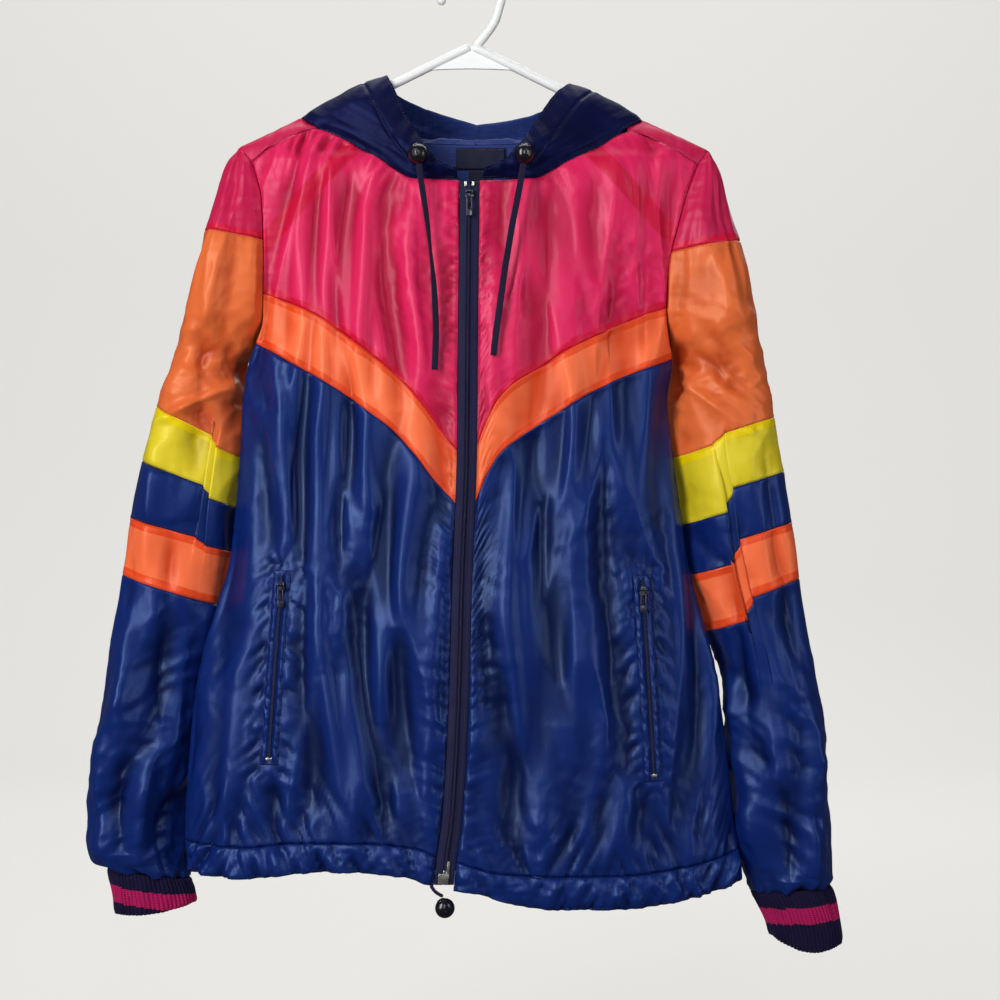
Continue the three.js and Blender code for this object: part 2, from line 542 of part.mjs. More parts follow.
// The saddle panel over each shoulder, from the front's seam over the ridge to the back's seam, drawn in to
// the
// hood's own seam at the neck
function buildShoulders() {
  for (const side of [LEFT, RIGHT]) {
    const ridgeNeck = hoodPoint(side, 0.5, 0).add(vec(side * 0.8, 0, -0.1));
    const ridgeEnd = side === LEFT ? vec(-197.5, 0, -153.6) : vec(201.5, 0, -155.6);
    const across = (u, v) => {
      const a = mix(SHOULDER_START, 1, u);
      const front = frontPoint(side, a, along(FRONT_LINES[side].top, "a", "z", a) + SEAM);
      const backA = side * mix(SHOULDER_START, 1, u);
      const back = backPoint(backA, along(BACK_LINES.top, "a", "z", backA) + SEAM);
      const ridge = ridgeNeck.clone().lerp(ridgeEnd, u);
      return front
        .multiplyScalar((1 - 2 * v) * (1 - v))
        .addScaledVector(ridge, 4 * v * (1 - v))
        .addScaledVector(back, v * (2 * v - 1));
    };
    const grid = gridOf(6, 6, (u, v) => {
      const seam = hoodSeam(side, v).add(vec(side * 0.8, 0, -0.1));
      const drawn = (1 - u) ** 4 * (1 - (2 * v - 1) ** 4);
      return across(u, v).addScaledVector(seam.sub(across(0, v)), drawn);
    });
    add(`shoulder_${sideName(side)}`, wall(grid, side, [0.3, CORNER_SEAM / 2, 0.5, 0.5]), PINK);
  }
}

// A level of the sleeve between two table rows: all its columns mixed
function sleeveLevel(side, row) {
  const level = {};
  const table = SLEEVE[side].map((r, i) => ({ ...r, i }));
  for (const column of Object.keys(SLEEVE[side][0])) level[column] = along(table, "i", column, row);
  level.inX = edgeX(side, level.inZ) + side * level.clear;
  level.open = clamp01(level.open);
  return level;
}

// A point of the sleeve: around is -1 at the inner edge in front, 0 at the outer silhouette, 1 at the inner
// edge behind
function sleevePoint(side, row, around) {
  const s = sleeveLevel(side, row);
  const inFront = around < 0;
  const tuck = TUCK[side];
  const fades = smooth((row - tuck.top) / 1.2) * smooth((tuck.foot + 1.5 - row) / 1.5);
  const tucked = inFront ? fades : 0;
  const u = 1 - Math.abs(around);
  const past = clamp01((u - tuck.at) / TUCK_WIDTH);
  // Past the tuck the cloth drops back from its crest within a few millimetres
  const crest = tuck.at + TUCK_WIDTH * 0.4;
  const beyond = clamp01(u - tuck.at - TUCK_WIDTH) / (1 - tuck.at - TUCK_WIDTH);
  const narrow = u < tuck.at ? (u / tuck.at) * crest : mix(crest, 1, 0.03 * past + 0.97 * beyond);
  const t = mix(u, narrow, tucked);
  const lift = tuck.lift * tucked * smooth(u / tuck.at) * (1 - past);
  const step = tuck.step * tucked;
  const closedX = (1 - Math.cos(Math.PI * t)) / 2;
  const openX = Math.sin((Math.PI * t) / 2);
  const across = mix(closedX, openX, s.open);
  const x = mix(s.inX, s.outX, across);
  const z = mix(s.inZ, s.outZ - step, across) + step * past;
  const rim = depth(inFront ? "frontRim" : "backRim", s.inZ);
  const belly = inFront ? s.front : s.back;
  const y = belly * Math.sin(Math.PI * t) + rim * Math.cos((Math.PI * t) / 2) * clamp01(s.open * 1.2) + lift;
  const behind = SLEEVE_BEHIND * (1 - across) * (1 - s.open);
  return vec(x, (inFront ? -y : y) + behind, z);
}

function buildSleeves() {
  const columns = 20;
  for (const side of [LEFT, RIGHT]) {
    for (const p of SLEEVE_PIECES) {
      const grid = gridOf(columns, p.rows, (u, v) => sleevePoint(side, mix(p.to, p.from, v), 2 * u - 1));
      const sewn = p.from === 0 ? 0.4 : SEAM / 2;
      const geometry = wall(grid, side, [0.3, 0.3, SEAM / 2, sewn]);
      add(`sleeve_${p.name}_${sideName(side)}`, geometry, p.colour);
    }
  }
}

// Ribbed cuffs: a rolled band with raised ribs outside, that goes on down from the sleeve's own last level
function buildCuffs() {
  for (const side of [LEFT, RIGHT]) {
    const c = CUFFS[side];
    const last = SLEEVE[side].length - 1;
    const inner = sleevePoint(side, last, -1);
    const outer = sleevePoint(side, last, 0);
    const grid = gridOf(2 * CUFF_RIBS, 1, (u, v) => {
      const around = 2 * u - 1;
      const p = sleevePoint(side, last, around);
      const across = (p.x - inner.x) / (outer.x - inner.x);
      const sag = c.sag * Math.sin(Math.PI * across) * (around < 0 ? 1 : -0.3);
      const x = mix(c.inX, c.outX, across);
      const z = mix(c.inZ, c.outZ, across) - sag;
      return vec(mix(x, p.x, v), p.y, mix(z, p.z - CUFF_GAP, v));
    });
    const ribs = (i) => (i % 2 ? 0.5 : 0);
    add(`cuff_${sideName(side)}`, wall(grid, side, [0.4, 0.4, 0, 0], 1.6, ribs), MAGENTA, 0.9);
  }
}

function hoodPoint(side, t, v) {
  const h = HOOD[side];
  const at = (table, column) => along(h[table], "t", column, t);
  const neck = vec(at("neck", "x"), at("neck", "y"), at("neck", "z"));
  const rim = vec(at("rim", "x"), at("rim", "y"), at("rim", "z"));
  const p = neck.clone().lerp(rim, v);
  const behind = smooth((t - 0.5) / 0.5) ** 0.7;
  const over = Math.sin(Math.PI * v);
  p.z += behind * along(HOOD_FALL, "v", "up", v);
  p.y += Math.sqrt(behind) * along(HOOD_FALL, "v", "back", v);
  // The side stands off the shoulder in a soft roll, to the front and to the back of the ridge
  const roll = Math.sin(Math.PI * clamp01(t / 0.5)) * (t < 0.5 ? 1 : 0);
  const turn = t > 0.5 ? Math.sin(Math.PI * clamp01((t - 0.5) / 0.5)) : 0;
  p.y += over * (11 * turn - 7 * roll);
  p.z += over * (3 * roll + 4 * (1 - Math.min(1, Math.abs(t - 0.5) * 8)));
  return p;
}

function buildHood() {
  for (const side of [LEFT, RIGHT]) {
    const grid = gridOf(HOOD_COLUMNS, 10, (u, v) => hoodPoint(side, u, v));
    add(`hood_${sideName(side)}`, wall(grid, side, [SEAM / 2, 0.35, 0.5, 0]), NAVY);
  }
}

// Front zip: two tapes with the closed coil between them
function buildZip() {
  const strip = (name, from, to, lift, thickness, colour) => {
    const grid = gridOf(1, 20, (u, v) => {
      const z = mix(-772, -187, v);
      return vec(zipX(z) + mix(from, to, u), -depth("front", z) - lift, z);
    });
    add(name, wall(grid, 1, [0, 0, 0, 0], thickness), colour, 0.7);
  };
  strip("zip_tape_left", -TAPE_HALF + SEAM, -COIL_HALF - SEAM, 0, CLOTH, NAVY);
  strip("zip_tape_right", COIL_HALF + SEAM, TAPE_HALF - SEAM, 0, CLOTH, NAVY);
  strip("zip_coil", -COIL_HALF, COIL_HALF, 0.3, 1.8, BLACK);
}

// A zip slider with two ears and a pin, and its pull tab, in their own frame: the pin lies on X at the origin
const PULL = {
  pin: 0.7,
  eye: 1.7,
  hole: 1.05,
  earHalf: 2.6,
  plateBack: 3.6,
  plateFront: 2,
  neckHalf: 1.6,
  tabHalf: 2.6,
};

function solidOf(geometry) {
  const bare = geometry.index ? geometry.toNonIndexed() : geometry.clone();
  for (const name of ["normal", "uv"]) bare.deleteAttribute(name);
  const merged = mergeVertices(bare, 1e-4);
  return new wasm.Manifold(
    new wasm.Mesh({
      numProp: 3,
      vertProperties: new Float32Array(merged.attributes.position.array),
      triVerts: new Uint32Array(merged.index.array),
    }),
  );
}

function geometryOf(solid) {
  const mesh = solid.getMesh();
  const geometry = new THREE.BufferGeometry();
  geometry.setAttribute("position", new THREE.Float32BufferAttribute(mesh.vertProperties, 3));
  geometry.setIndex(new THREE.Uint32BufferAttribute(mesh.triVerts, 1));
  return geometry;
}

function union(...geometries) {
  let solid = solidOf(geometries[0]);
  for (const g of geometries.slice(1)) solid = solid.add(solidOf(g));
  return geometryOf(solid);
}

const block = (x, y, z, cx, cy, cz) => new THREE.BoxGeometry(x, y, z).translate(cx, cy, cz);

function sliderGeometry(width, height) {
  const plateY = (PULL.plateBack + PULL.plateFront) / 2;
  const plate = block(width, PULL.plateBack - PULL.plateFront, height, 0, plateY, -height * 0.3);
  const pin = new THREE.CylinderGeometry(PULL.pin, PULL.pin, 2 * PULL.earHalf, 10).rotateZ(Math.PI / 2);
  const ears = [-1, 1].map((s) => block(1, PULL.plateFront + 1.6, 3, s * PULL.earHalf, 0.5, 0));
  return union(plate, pin, ...ears);
}

// The tab is an outline with an eye round the pin, cut from a plate that hangs below it
function pullGeometry(length) {
  const outline = new THREE.Shape();
  outline.absarc(0, 0, PULL.eye, -Math.PI * 0.3, Math.PI * 1.3, false);
  outline.lineTo(-0.6, -length);
  outline.lineTo(0.6, -length);
  const hole = new THREE.Path();
  hole.absarc(0, 0, PULL.hole, 0, Math.PI * 2, true);
  outline.holes.push(hole);
  const neck = 2 * PULL.neckHalf;
  const stem = new THREE.ExtrudeGeometry(outline, { depth: neck, bevelEnabled: false, curveSegments: 8 });
  const upright = new THREE.Matrix4().makeBasis(vec(0, 1, 0), vec(0, 0, 1), vec(1, 0, 0));
  stem.translate(0, 0, -neck / 2).applyMatrix4(upright);
  const tab = block(2 * PULL.tabHalf, 1.2, length - 5, 0, 0, -(length + 5) / 2);
  return union(stem, tab);
}

// A slider and its pull at a point of the cloth, leaning as the cloth leans there
function addSlider(name, x, y, z, lean, length) {
  for (const [suffix, geometry, colour] of [
    ["slider", sliderGeometry(6.4, 9), BLACK],
    ["pull", pullGeometry(length), BLACK],
  ]) {
    const mesh = add(`${name}_${suffix}`, geometry, colour, 0.4, 0.3);
    mesh.position.set(x, y, z);
    mesh.rotation.x = lean;
  }
}

const slopeAt = (z) => Math.atan2(depth("front", z - 12) - depth("front", z + 6), 18);

// Depth of a panel's own facets at x and z
function facetY(grid, x, z) {
  const cut = grid.map((line) => {
    let j = 0;
    while (j < line.length - 2 && line[j + 1].z < z) j += 1;
    return line[j].clone().lerp(line[j + 1], (z - line[j].z) / (line[j + 1].z - line[j].z));
  });
  cut.sort((p, q) => p.x - q.x);
  let i = 0;
  while (i < cut.length - 2 && cut[i + 1].x < x) i += 1;
  return mix(cut[i].y, cut[i + 1].y, (x - cut[i].x) / (cut[i + 1].x - cut[i].x));
}

// The two zipped pockets: a strip lying on the front's own facets, and its slider and pull at the top
function buildPockets() {
  for (const side of [LEFT, RIGHT]) {
    const k = POCKETS[side];
    const panel = panels[`front_lower_${sideName(side)}`];
    const grid = gridOf(3, 14, (u, v) => {
      const z = mix(k.z1, k.z0, v);
      const x = mix(k.x1, k.x0, v) + mix(-POCKET_HALF, POCKET_HALF, u);
      return vec(x, facetY(panel, x, z) - CLOTH - 1, z);
    });
    add(`pocket_${sideName(side)}`, wall(grid, 1, [0, 0, 0, 0]), NAVY, 0.6);
    const z = k.z0 - 12;
    const x = mix(k.x0, k.x1, 12 / (k.z0 - k.z1));
    const y = facetY(panel, x, z) - 1.5 * CLOTH - 2.4 - PULL.plateBack;
    addSlider(`pocket_${sideName(side)}`, x, y, z, -slopeAt(z), 19);
  }
}

function tube(points, diameter, sides, steps, closed = false) {
  const curve = new THREE.CatmullRomCurve3(points, closed, "centripetal");
  const ring = new THREE.Shape();
  ring.absarc(0, 0, diameter / 2, 0, Math.PI * 2, false);
  const options = { steps, curveSegments: sides, bevelEnabled: false, extrudePath: curve };
  return new THREE.ExtrudeGeometry(ring, options);
}

// Tubular hanger: a hook with its stem, two sloping arms joined by a bottom bar, and the web at the neck
function buildHanger() {
  const zc = -HOOK_RADIUS + HANGER_TUBE / 2;
  const hookPoints = [];
  for (let i = 0; i <= 14; i += 1) {
    const angle = mix(Math.PI * 1.12, -0.12 * Math.PI, i / 14);
    hookPoints.push(vec(HOOK_RADIUS * Math.cos(angle), 0, zc + HOOK_RADIUS * Math.sin(angle)));
  }
  hookPoints.push(vec(20, 0, -45), vec(12, 0, -57), vec(3, 0, -68));
  const hook = tube(hookPoints, HANGER_TUBE, 4, 24);
  const armAt = (x) => -66 - 0.5 * Math.abs(x);
  const loop = [];
  for (const s of [1, -1]) {
    const half = [
      vec(8 * s, 0, armAt(9)), vec(60 * s, 0, armAt(60)), vec(120 * s, 0, armAt(120)),
      vec(170 * s, 0, armAt(170)),
      vec(186 * s, 0, armAt(187)), vec(194 * s, 0, -170), vec(195 * s, 0, -183), vec(187 * s, 0, -194),
      vec(172 * s, 0, -197), vec(90 * s, 0, -197),
    ];
    loop.push(...(s === 1 ? half : half.reverse()));
  }
  const frame = tube(loop, HANGER_TUBE, 4, 48, true);
  const outline = new THREE.Shape();
  outline.moveTo(-46, armAt(46) + 1);
  outline.lineTo(-8, armAt(8) + 3);
  outline.lineTo(8, armAt(8) + 3);
  outline.lineTo(46, armAt(46) + 1);
  outline.quadraticCurveTo(0, armAt(46) + 5, -46, armAt(46) + 1);
  const web = new THREE.ExtrudeGeometry(outline, { depth: 3, bevelEnabled: false, curveSegments: 6 });
  web.translate(0, 0, -1.5).rotateX(Math.PI / 2);
  add("hanger", union(frame, hook, web), WHITE, 0.35);
}

// A ball-shaped cord stopper, flattened a little from front to back
function ball(radius) {
  const profile = [];
  for (let i = 0; i <= 6; i += 1) {
    const angle = Math.PI * (i / 6 - 0.5);
    profile.push(new THREE.Vector2(i % 6 ? radius * Math.cos(angle) : 0, radius * 1.05 * Math.sin(angle)));
  }
  return new THREE.LatheGeometry(profile, 12).rotateX(Math.PI / 2).scale(1, 0.8, 1);
}

function buildDrawcords() {
  for (const side of [LEFT, RIGHT]) {
    const points = DRAWCORDS[side].map((p) => vec(...p));
    add(`drawcord_${sideName(side)}`, tube(points, CORD_DIAMETER, 3, 20), NAVY, 0.8);
    add(`stopper_${sideName(side)}`, ball(STOPPER_RADIUS).translate(...STOPPERS[side]), BLACK, 0.3);
  }
  add("hem_toggle", ball(STOPPER_RADIUS).translate(...HEM_TOGGLE), BLACK, 0.3);
  add("hem_cord", tube(HEM_CORD.map((p) => vec(...p)), 3, 3, 5), NAVY, 0.8);
}

// The lining that shows inside the neck, made from the back yoke's own points moved in
function buildLining() {
  const yoke = panels.back_yoke;
  const columns = yoke.slice(5, yoke.length - 5).map((line) => line.slice(2));
  const grid = columns.map((line) => line.map((p) => p.clone().add(vec(0, -LINING_INSIDE, 0))));
  add("back_lining", wall(grid, -1, [0, 0, 0, 2]), NAVY, 0.7);
}

// The bare neck label with its small care label below, hanging inside the back
function buildLabels() {
  const tag = (name, x, width, high, low) => {
    const grid = gridOf(4, 2, (u, v) => {
      const z = mix(low, high, v);
      const at = x + mix(-width / 2, width / 2, u);
      return vec(at, depth("back", z) - LABEL_INSIDE, z);
    });
    add(name, wall(grid, 1, [0, 0, 0, 0], 1), BLACK, 0.8);
  };
  tag("neck_label", 8, 42, -152, -170);
  tag("care_label", 8, 20, -170.6, -181);
}

buildHanger();
buildBack();
buildFronts();
buildShoulders();
buildSleeves();
buildCuffs();
buildHood();
buildZip();
buildPockets();
buildDrawcords();
buildLining();
buildLabels();
addSlider("zip", zipX(-196), -depth("front", -196) - 1.5 - PULL.plateBack, -196, -slopeAt(-200), 21);

export default root;
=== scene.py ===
"""A hooded windbreaker in coloured panels, zipped up on a white plastic hanger."""

import logging
import math
from dataclasses import dataclass, field
from enum import Enum
from typing import Iterable, NamedTuple, Sequence

import bmesh
import bpy
import numpy as np
from mathutils import Matrix, Vector


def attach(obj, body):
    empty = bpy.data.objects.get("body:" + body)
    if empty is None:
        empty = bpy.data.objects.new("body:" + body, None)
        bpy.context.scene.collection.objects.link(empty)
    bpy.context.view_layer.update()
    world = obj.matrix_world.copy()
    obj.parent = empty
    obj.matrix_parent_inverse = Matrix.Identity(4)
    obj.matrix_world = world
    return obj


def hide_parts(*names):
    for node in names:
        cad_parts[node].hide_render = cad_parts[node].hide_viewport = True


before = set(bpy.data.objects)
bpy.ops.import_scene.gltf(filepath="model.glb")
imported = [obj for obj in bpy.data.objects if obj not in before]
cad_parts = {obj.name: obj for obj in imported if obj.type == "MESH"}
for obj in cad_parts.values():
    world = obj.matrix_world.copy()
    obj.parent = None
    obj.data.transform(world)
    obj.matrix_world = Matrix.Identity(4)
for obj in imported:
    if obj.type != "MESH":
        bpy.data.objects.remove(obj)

log = logging.getLogger("windbreaker")

MM = 0.001
Line = Sequence[tuple[float, float]]


class Side(Enum):
    """A side of the jacket as it is seen from the front."""

    LEFT = -1
    RIGHT = 1

    @property
    def word(self) -> str:
        """The side's word in node names."""
        return self.name.lower()


class Track:
    """A smooth line through a short table of values, which never overshoots them."""

    def __init__(self, rows: Line) -> None:
        """Keeps the table's keys and values and works out the slope at each row.

        Args:
            rows: pairs of a key and its value, in the key's rising order.
        """
        self.keys, self.values = np.array(rows, float).T
        rate = np.diff(self.values) / np.diff(self.keys)
        before = np.concatenate([rate[:1], rate])
        after = np.concatenate([rate, rate[-1:]])
        product = before * after
        total = np.where(product > 0, before + after, 1.0)
        self.slopes = np.where(product > 0, 2 * product / total, 0.0)

    def __call__(self, at: np.ndarray | float) -> np.ndarray:
        """The value at each key given.

        Args:
            at: one key, or an array of them.

        Returns:
            The values, in the shape of the keys.
        """
        at = np.clip(at, self.keys[0], self.keys[-1])
        i = np.clip(np.searchsorted(self.keys, at, side="right") - 1, 0, len(self.keys) - 2)
        span = self.keys[i + 1] - self.keys[i]
        t = (at - self.keys[i]) / span
        low, high = self.values[i], self.values[i + 1]
        bend = t * (1 - t) ** 2 * self.slopes[i] - t * t * (1 - t) * self.slopes[i + 1]
        return low + (high - low) * t * t * (3 - 2 * t) + span * bend


class Noise:
    """Smooth random relief over a plane, the same at each run."""

    def __init__(self, seed: int) -> None:
        """Draws the lattice of slopes.

        Args:
            seed: a number of its own for each use.
        """
        angles = np.random.default_rng(seed).uniform(0, 2 * np.pi, (128, 128))
        self.slope_x, self.slope_y = np.cos(angles), np.sin(angles)

    def at(self, x: np.ndarray, y: np.ndarray) -> np.ndarray:
        """Relief between about -1 and 1, one wave to two lattice steps.

        Args:
            x: places along the first axis, in lattice steps.
            y: places along the second.

        Returns:
            The relief at each place.
        """
        x, y = np.broadcast_arrays(np.asarray(x, float), np.asarray(y, float))
        i, j = np.floor(x).astype(int), np.floor(y).astype(int)
        fx, fy = x - i, y - j
        u, v = fx**3 * (fx * (6 * fx - 15) + 10), fy**3 * (fy * (6 * fy - 15) + 10)

        def corner(di: int, dj: int) -> np.ndarray:
            """The share of one lattice corner."""
            a, b = (i + di) % 128, (j + dj) % 128
            return self.slope_x[a, b] * (fx - di) + self.slope_y[a, b] * (fy - dj)

        low = corner(0, 0) * (1 - u) + corner(1, 0) * u
        high = corner(0, 1) * (1 - u) + corner(1, 1) * u
        return 1.5 * (low * (1 - v) + high * v)

    def creases(self, x: np.ndarray, y: np.ndarray) -> np.ndarray:
        """Relief with sharp crests between soft hollows, as thin coated cloth has, averaging about zero.

        Args:
            x: places along the first axis, in lattice steps.
            y: places along the second.

        Returns:
            The relief at each place.
        """
        first = 1 - 2.2 * np.abs(self.at(x, y))
        second = 1 - 2.2 * np.abs(self.at(x * 2.1 + 31.7, y * 1.8 + 11.3))
        return first + 0.4 * second - 0.55


def smooth(t: np.ndarray | float) -> np.ndarray:
    """A soft step from 0 at 0 to 1 at 1."""
    t = np.clip(t, 0, 1)
    return t * t * (3 - 2 * t)


def mix(p: np.ndarray | float, q: np.ndarray | float, t: np.ndarray | float) -> np.ndarray:
    """The value t of the way from p to q."""
    return p + (q - p) * t


def normals(points: np.ndarray, outward: int) -> np.ndarray:
    """Unit normals of a grid of points.

    Args:
        points: a grid of points, (columns, rows, 3).
        outward: 1 where across x up faces out, else -1.

    Returns:
        A grid of unit normals.
    """
    cross = np.cross(np.gradient(points, axis=0), np.gradient(points, axis=1))
    size = np.linalg.norm(cross, axis=2, keepdims=True)
    return outward * cross / np.maximum(size, 1e-9)


def unit(rows: np.ndarray) -> np.ndarray:
    """Rows of vectors brought to a length of 1."""
    return rows / np.maximum(np.linalg.norm(rows, axis=1, keepdims=True), 1e-6)


def run_of(path: np.ndarray) -> np.ndarray:
    """How far along a line of points each one lies."""
    return np.concatenate([[0], np.cumsum(np.linalg.norm(np.diff(path, axis=0), axis=1))])


def along(path: np.ndarray, at: np.ndarray, run: np.ndarray) -> np.ndarray:
    """Values of a line of rows at distances along its run."""
    return np.stack([np.interp(at, run, path[:, k]) for k in range(3)], axis=-1)


def edge_distances(points: np.ndarray) -> tuple[np.ndarray, np.ndarray, np.ndarray, np.ndarray]:
    """How far each point of a grid lies from its four edges, along the cloth.

    Args:
        points: a grid of points, (columns, rows, 3).

    Returns:
        The distances from the first column, the last column, the first row and the last row.
    """
    across = np.linalg.norm(np.diff(points, axis=0), axis=2)
    along = np.linalg.norm(np.diff(points, axis=1), axis=2)
    left = np.concatenate([np.zeros((1, points.shape[1])), np.cumsum(across, axis=0)])
    foot = np.concatenate([np.zeros((points.shape[0], 1)), np.cumsum(along, axis=1)], axis=1)
    return left, left[-1:] - left, foot, foot[:, -1:] - foot


def grid(columns: int, rows: int) -> tuple[np.ndarray, np.ndarray]:
    """Two arrays of shape (columns + 1, rows + 1) that run from 0 to 1 across and up."""
    return np.meshgrid(np.linspace(0, 1, columns + 1), np.linspace(0, 1, rows + 1), indexing="ij")


def link(obj: bpy.types.Object) -> bpy.types.Object:
    """Puts an object in the scene and returns it."""
    bpy.context.scene.collection.objects.link(obj)
    return obj


def mesh_object(name: str, points: np.ndarray, faces: list) -> bpy.types.Object:
    """Makes a mesh object that shades as one smooth surface.

    Args:
        name: the piece's name.
        points: its points in millimetres, (n, 3).
        faces: its faces, as rows of point numbers.

    Returns:
        The object.
    """
    mesh = bpy.data.meshes.new(name)
    mesh.from_pydata((points * MM).tolist(), [], faces)
    mesh.polygons.foreach_set("use_smooth", [True] * len(mesh.polygons))
    mesh.update()
    return link(bpy.data.objects.new(name, mesh))


def hollows(points: np.ndarray, facing: np.ndarray, reach: float = 17.0, deep: float = 3.0) -> np.ndarray:
    """How far each point of a cloth grid lies down between its folds: the mask for the shade painted into its colour
    there.

    Args:
        points: the grid, (columns, rows, 3), in millimetres.
        facing: its unit normals.
        reach: how far around each point its level is taken.
        deep: how far below that level a point lies where the painted shade is full.

    Returns:
        0 on a crest, 0.5 on the level and 1 where the painted shade is full.
    """
    level = points
    for axis in (0, 1):
        step = np.linalg.norm(np.diff(points, axis=axis), axis=2).mean()
        half = int(min(reach / step, points.shape[axis] - 2))
        for _ in range(2 if half > 0 else 0):
            padding = [(half + 1, half) if k == axis else (0, 0) for k in range(3)]
            total = np.cumsum(np.pad(level, padding, mode="reflect", reflect_type="odd"), axis=axis)
            count = level.shape[axis]
            first, last = np.arange(count), np.arange(count) + 2 * half + 1
            level = (np.take(total, last, axis=axis) - np.take(total, first, axis=axis)) / (2 * half + 1)
    lift = ((points - level) * facing).sum(axis=2)
    return np.clip(0.5 - 0.5 * lift / deep, 0, 1)


def cloth_object(name: str, points: np.ndarray, outward: int, thickness: float = 0.5) -> bpy.types.Object:
    """Makes a thin closed wall about a grid of points, with a mask of painted shade between its folds as an attribute
    for its finish.

    Args:
        name: the piece's name.
        points: the middle of the wall, (columns, rows, 3), in millimetres.
        outward: 1 where across x up faces out, else -1.
        thickness: the wall's thickness, in millimetres.

    Returns:
        The object. Its first faces are the outer ones, a column after another.
    """
    columns, rows = points.shape[:2]
    facing = normals(points, outward)
    offset = facing * thickness / 2
    shell = np.concatenate([(points + offset).reshape(-1, 3), (points - offset).reshape(-1, 3)])
    number = np.arange(columns * rows).reshape(columns, rows)
    a, b, c, d = number[:-1, :-1], number[1:, :-1], number[1:, 1:], number[:-1, 1:]
    outer = np.stack([a, b, c, d], axis=-1).reshape(-1, 4)
    inner = outer[:, ::-1] + columns * rows
    ring = np.concatenate([number[:, 0], number[-1, 1:], number[-2::-1, -1], number[0, -2:0:-1]])
    following = np.roll(ring, -1)
    back = columns * rows
    rim = np.stack([ring, ring + back, following + back, following], axis=-1)
    faces = np.concatenate([outer, inner, rim])
    obj = mesh_object(name, shell, (faces if outward > 0 else faces[:, ::-1]).tolist())
    # How far each point lies down between folds, kept for the finish to paint shade into the colour there
    depth = hollows(points, facing).ravel()
    obj.data.attributes.new("hollow_shade", "FLOAT", "POINT").data.foreach_set("value", np.tile(depth, 2))
    return obj


# The jacket's outline and depths

EDGE = {
    # height and x of the side edge: the side seam, then above the armpit the armhole seam
    Side.LEFT: Track([
        (-795, -242), (-771, -242), (-743, -244), (-672, -241), (-622, -236), (-580, -228), (-543, -217),
        (-504, -206), (-470, -202), (-412, -197), (-370, -195), (-338, -190), (-319, -182), (-300, -176),
        (-243, -175), (-198, -177), (-182, -181), (-167, -186), (-155, -197),
    ]),
    Side.RIGHT: Track([
        (-795, 231), (-777, 231), (-722, 224), (-652, 216), (-593, 207), (-554, 197), (-517, 187), (-474, 180),
        (-415, 172), (-370, 167), (-338, 171), (-319, 168), (-295, 165), (-266, 166), (-243, 169), (-224, 174),
        (-202, 180), (-184, 186), (-168, 193), (-157, 201),
    ]),
}
ZIP_X = Track([(-780, -23), (-752, -20), (-714, -15), (-627, -10), (-521, -7), (-412, -3), (-286, -2), (-185, -1)])
TAPE_HALF = 8.5
COIL_HALF = 2.1
ARMPIT_Z = -338

FRONT_DEPTH = Track([
    (-795, 50), (-650, 52), (-500, 49), (-338, 44), (-319, 43), (-290, 41), (-243, 37), (-200, 32), (-182, 29),
    (-167, 25), (-157, 18), (-150, 15), (-135, 9),
])
BACK_DEPTH = Track([
    (-795, 27), (-650, 28), (-500, 26), (-338, 23), (-319, 22), (-290, 21), (-243, 19), (-200, 17), (-182, 15),
    (-167, 13), (-157, 12), (-150, 11), (-135, 9),
])
FRONT_RIM = Track([
    (-338, 0), (-319, 9), (-290, 16), (-243, 19), (-200, 16), (-182, 13), (-167, 9), (-157, 4.2), (-150, 0),
])
BACK_RIM = Track([
    (-338, 0), (-319, 6), (-290, 11), (-243, 13), (-200, 11), (-182, 9), (-167, 7), (-157, 3.4), (-150, 0),
])

# Seam heights over one front: 0 at the zip and 1 at the side edge
SEAMS = {
    Side.LEFT: {
        "hem": Track([(0, -773), (0.14, -765), (0.38, -762), (0.54, -764), (0.77, -770), (1, -768)]),
        "hem_top": Track([(0, -749), (0.07, -743), (0.31, -738), (0.54, -739), (0.77, -744), (1, -742)]),
        "band_low": Track([
            (0, -456), (0.11, -434), (0.2, -413), (0.3, -394), (0.44, -375), (0.55, -361), (0.71, -345),
            (0.89, -329), (1, -321),
        ]),
        "band_high": Track([
            (0, -412), (0.08, -395), (0.15, -376), (0.25, -355), (0.4, -333), (0.57, -314), (0.75, -296), (1, -279),
        ]),
        "top": Track([
            (0, -186), (0.23, -184), (0.31, -176), (0.41, -163), (0.52, -149), (0.66, -139), (0.83, -152), (1, -167),
        ]),
    },
    Side.RIGHT: {
        "hem": Track([
            (0, -777), (0.09, -780), (0.15, -785), (0.23, -790), (0.37, -794), (0.57, -794), (0.81, -787), (1, -776),
        ]),
        "hem_top": Track([(0, -753), (0.15, -763), (0.36, -766), (0.57, -766), (0.81, -760), (1, -749)]),
        "band_low": Track([
            (0, -456), (0.04, -436), (0.12, -414), (0.23, -400), (0.43, -379), (0.63, -360), (0.83, -345), (1, -334),
        ]),
        "band_high": Track([
            (0, -408), (0.05, -386), (0.11, -369), (0.2, -355), (0.32, -343), (0.42, -332), (0.63, -315),
            (0.85, -300), (1, -291),
        ]),
        "top": Track([(0, -186), (0.26, -184), (0.36, -174), (0.51, -157), (0.66, -142), (0.83, -155), (1, -170)]),
    },
}
# Seam heights over the back: -1 at the left edge and 1 at the right edge
BACK_SEAMS = {
    "hem": Track([(-1, -768), (-0.4, -772), (0.4, -778), (1, -776)]),
    "hem_top": Track([(-1, -742), (0, -746), (1, -749)]),
    "band_low": Track([(-1, -321), (0, -352), (1, -334)]),
    "band_high": Track([(-1, -279), (0, -306), (1, -291)]),
    "top": Track([
        (-1, -167), (-0.78, -148), (-0.66, -142), (-0.4, -148), (0, -151), (0.4, -148), (0.66, -144), (0.78, -150),
        (1, -169),
    ]),
}


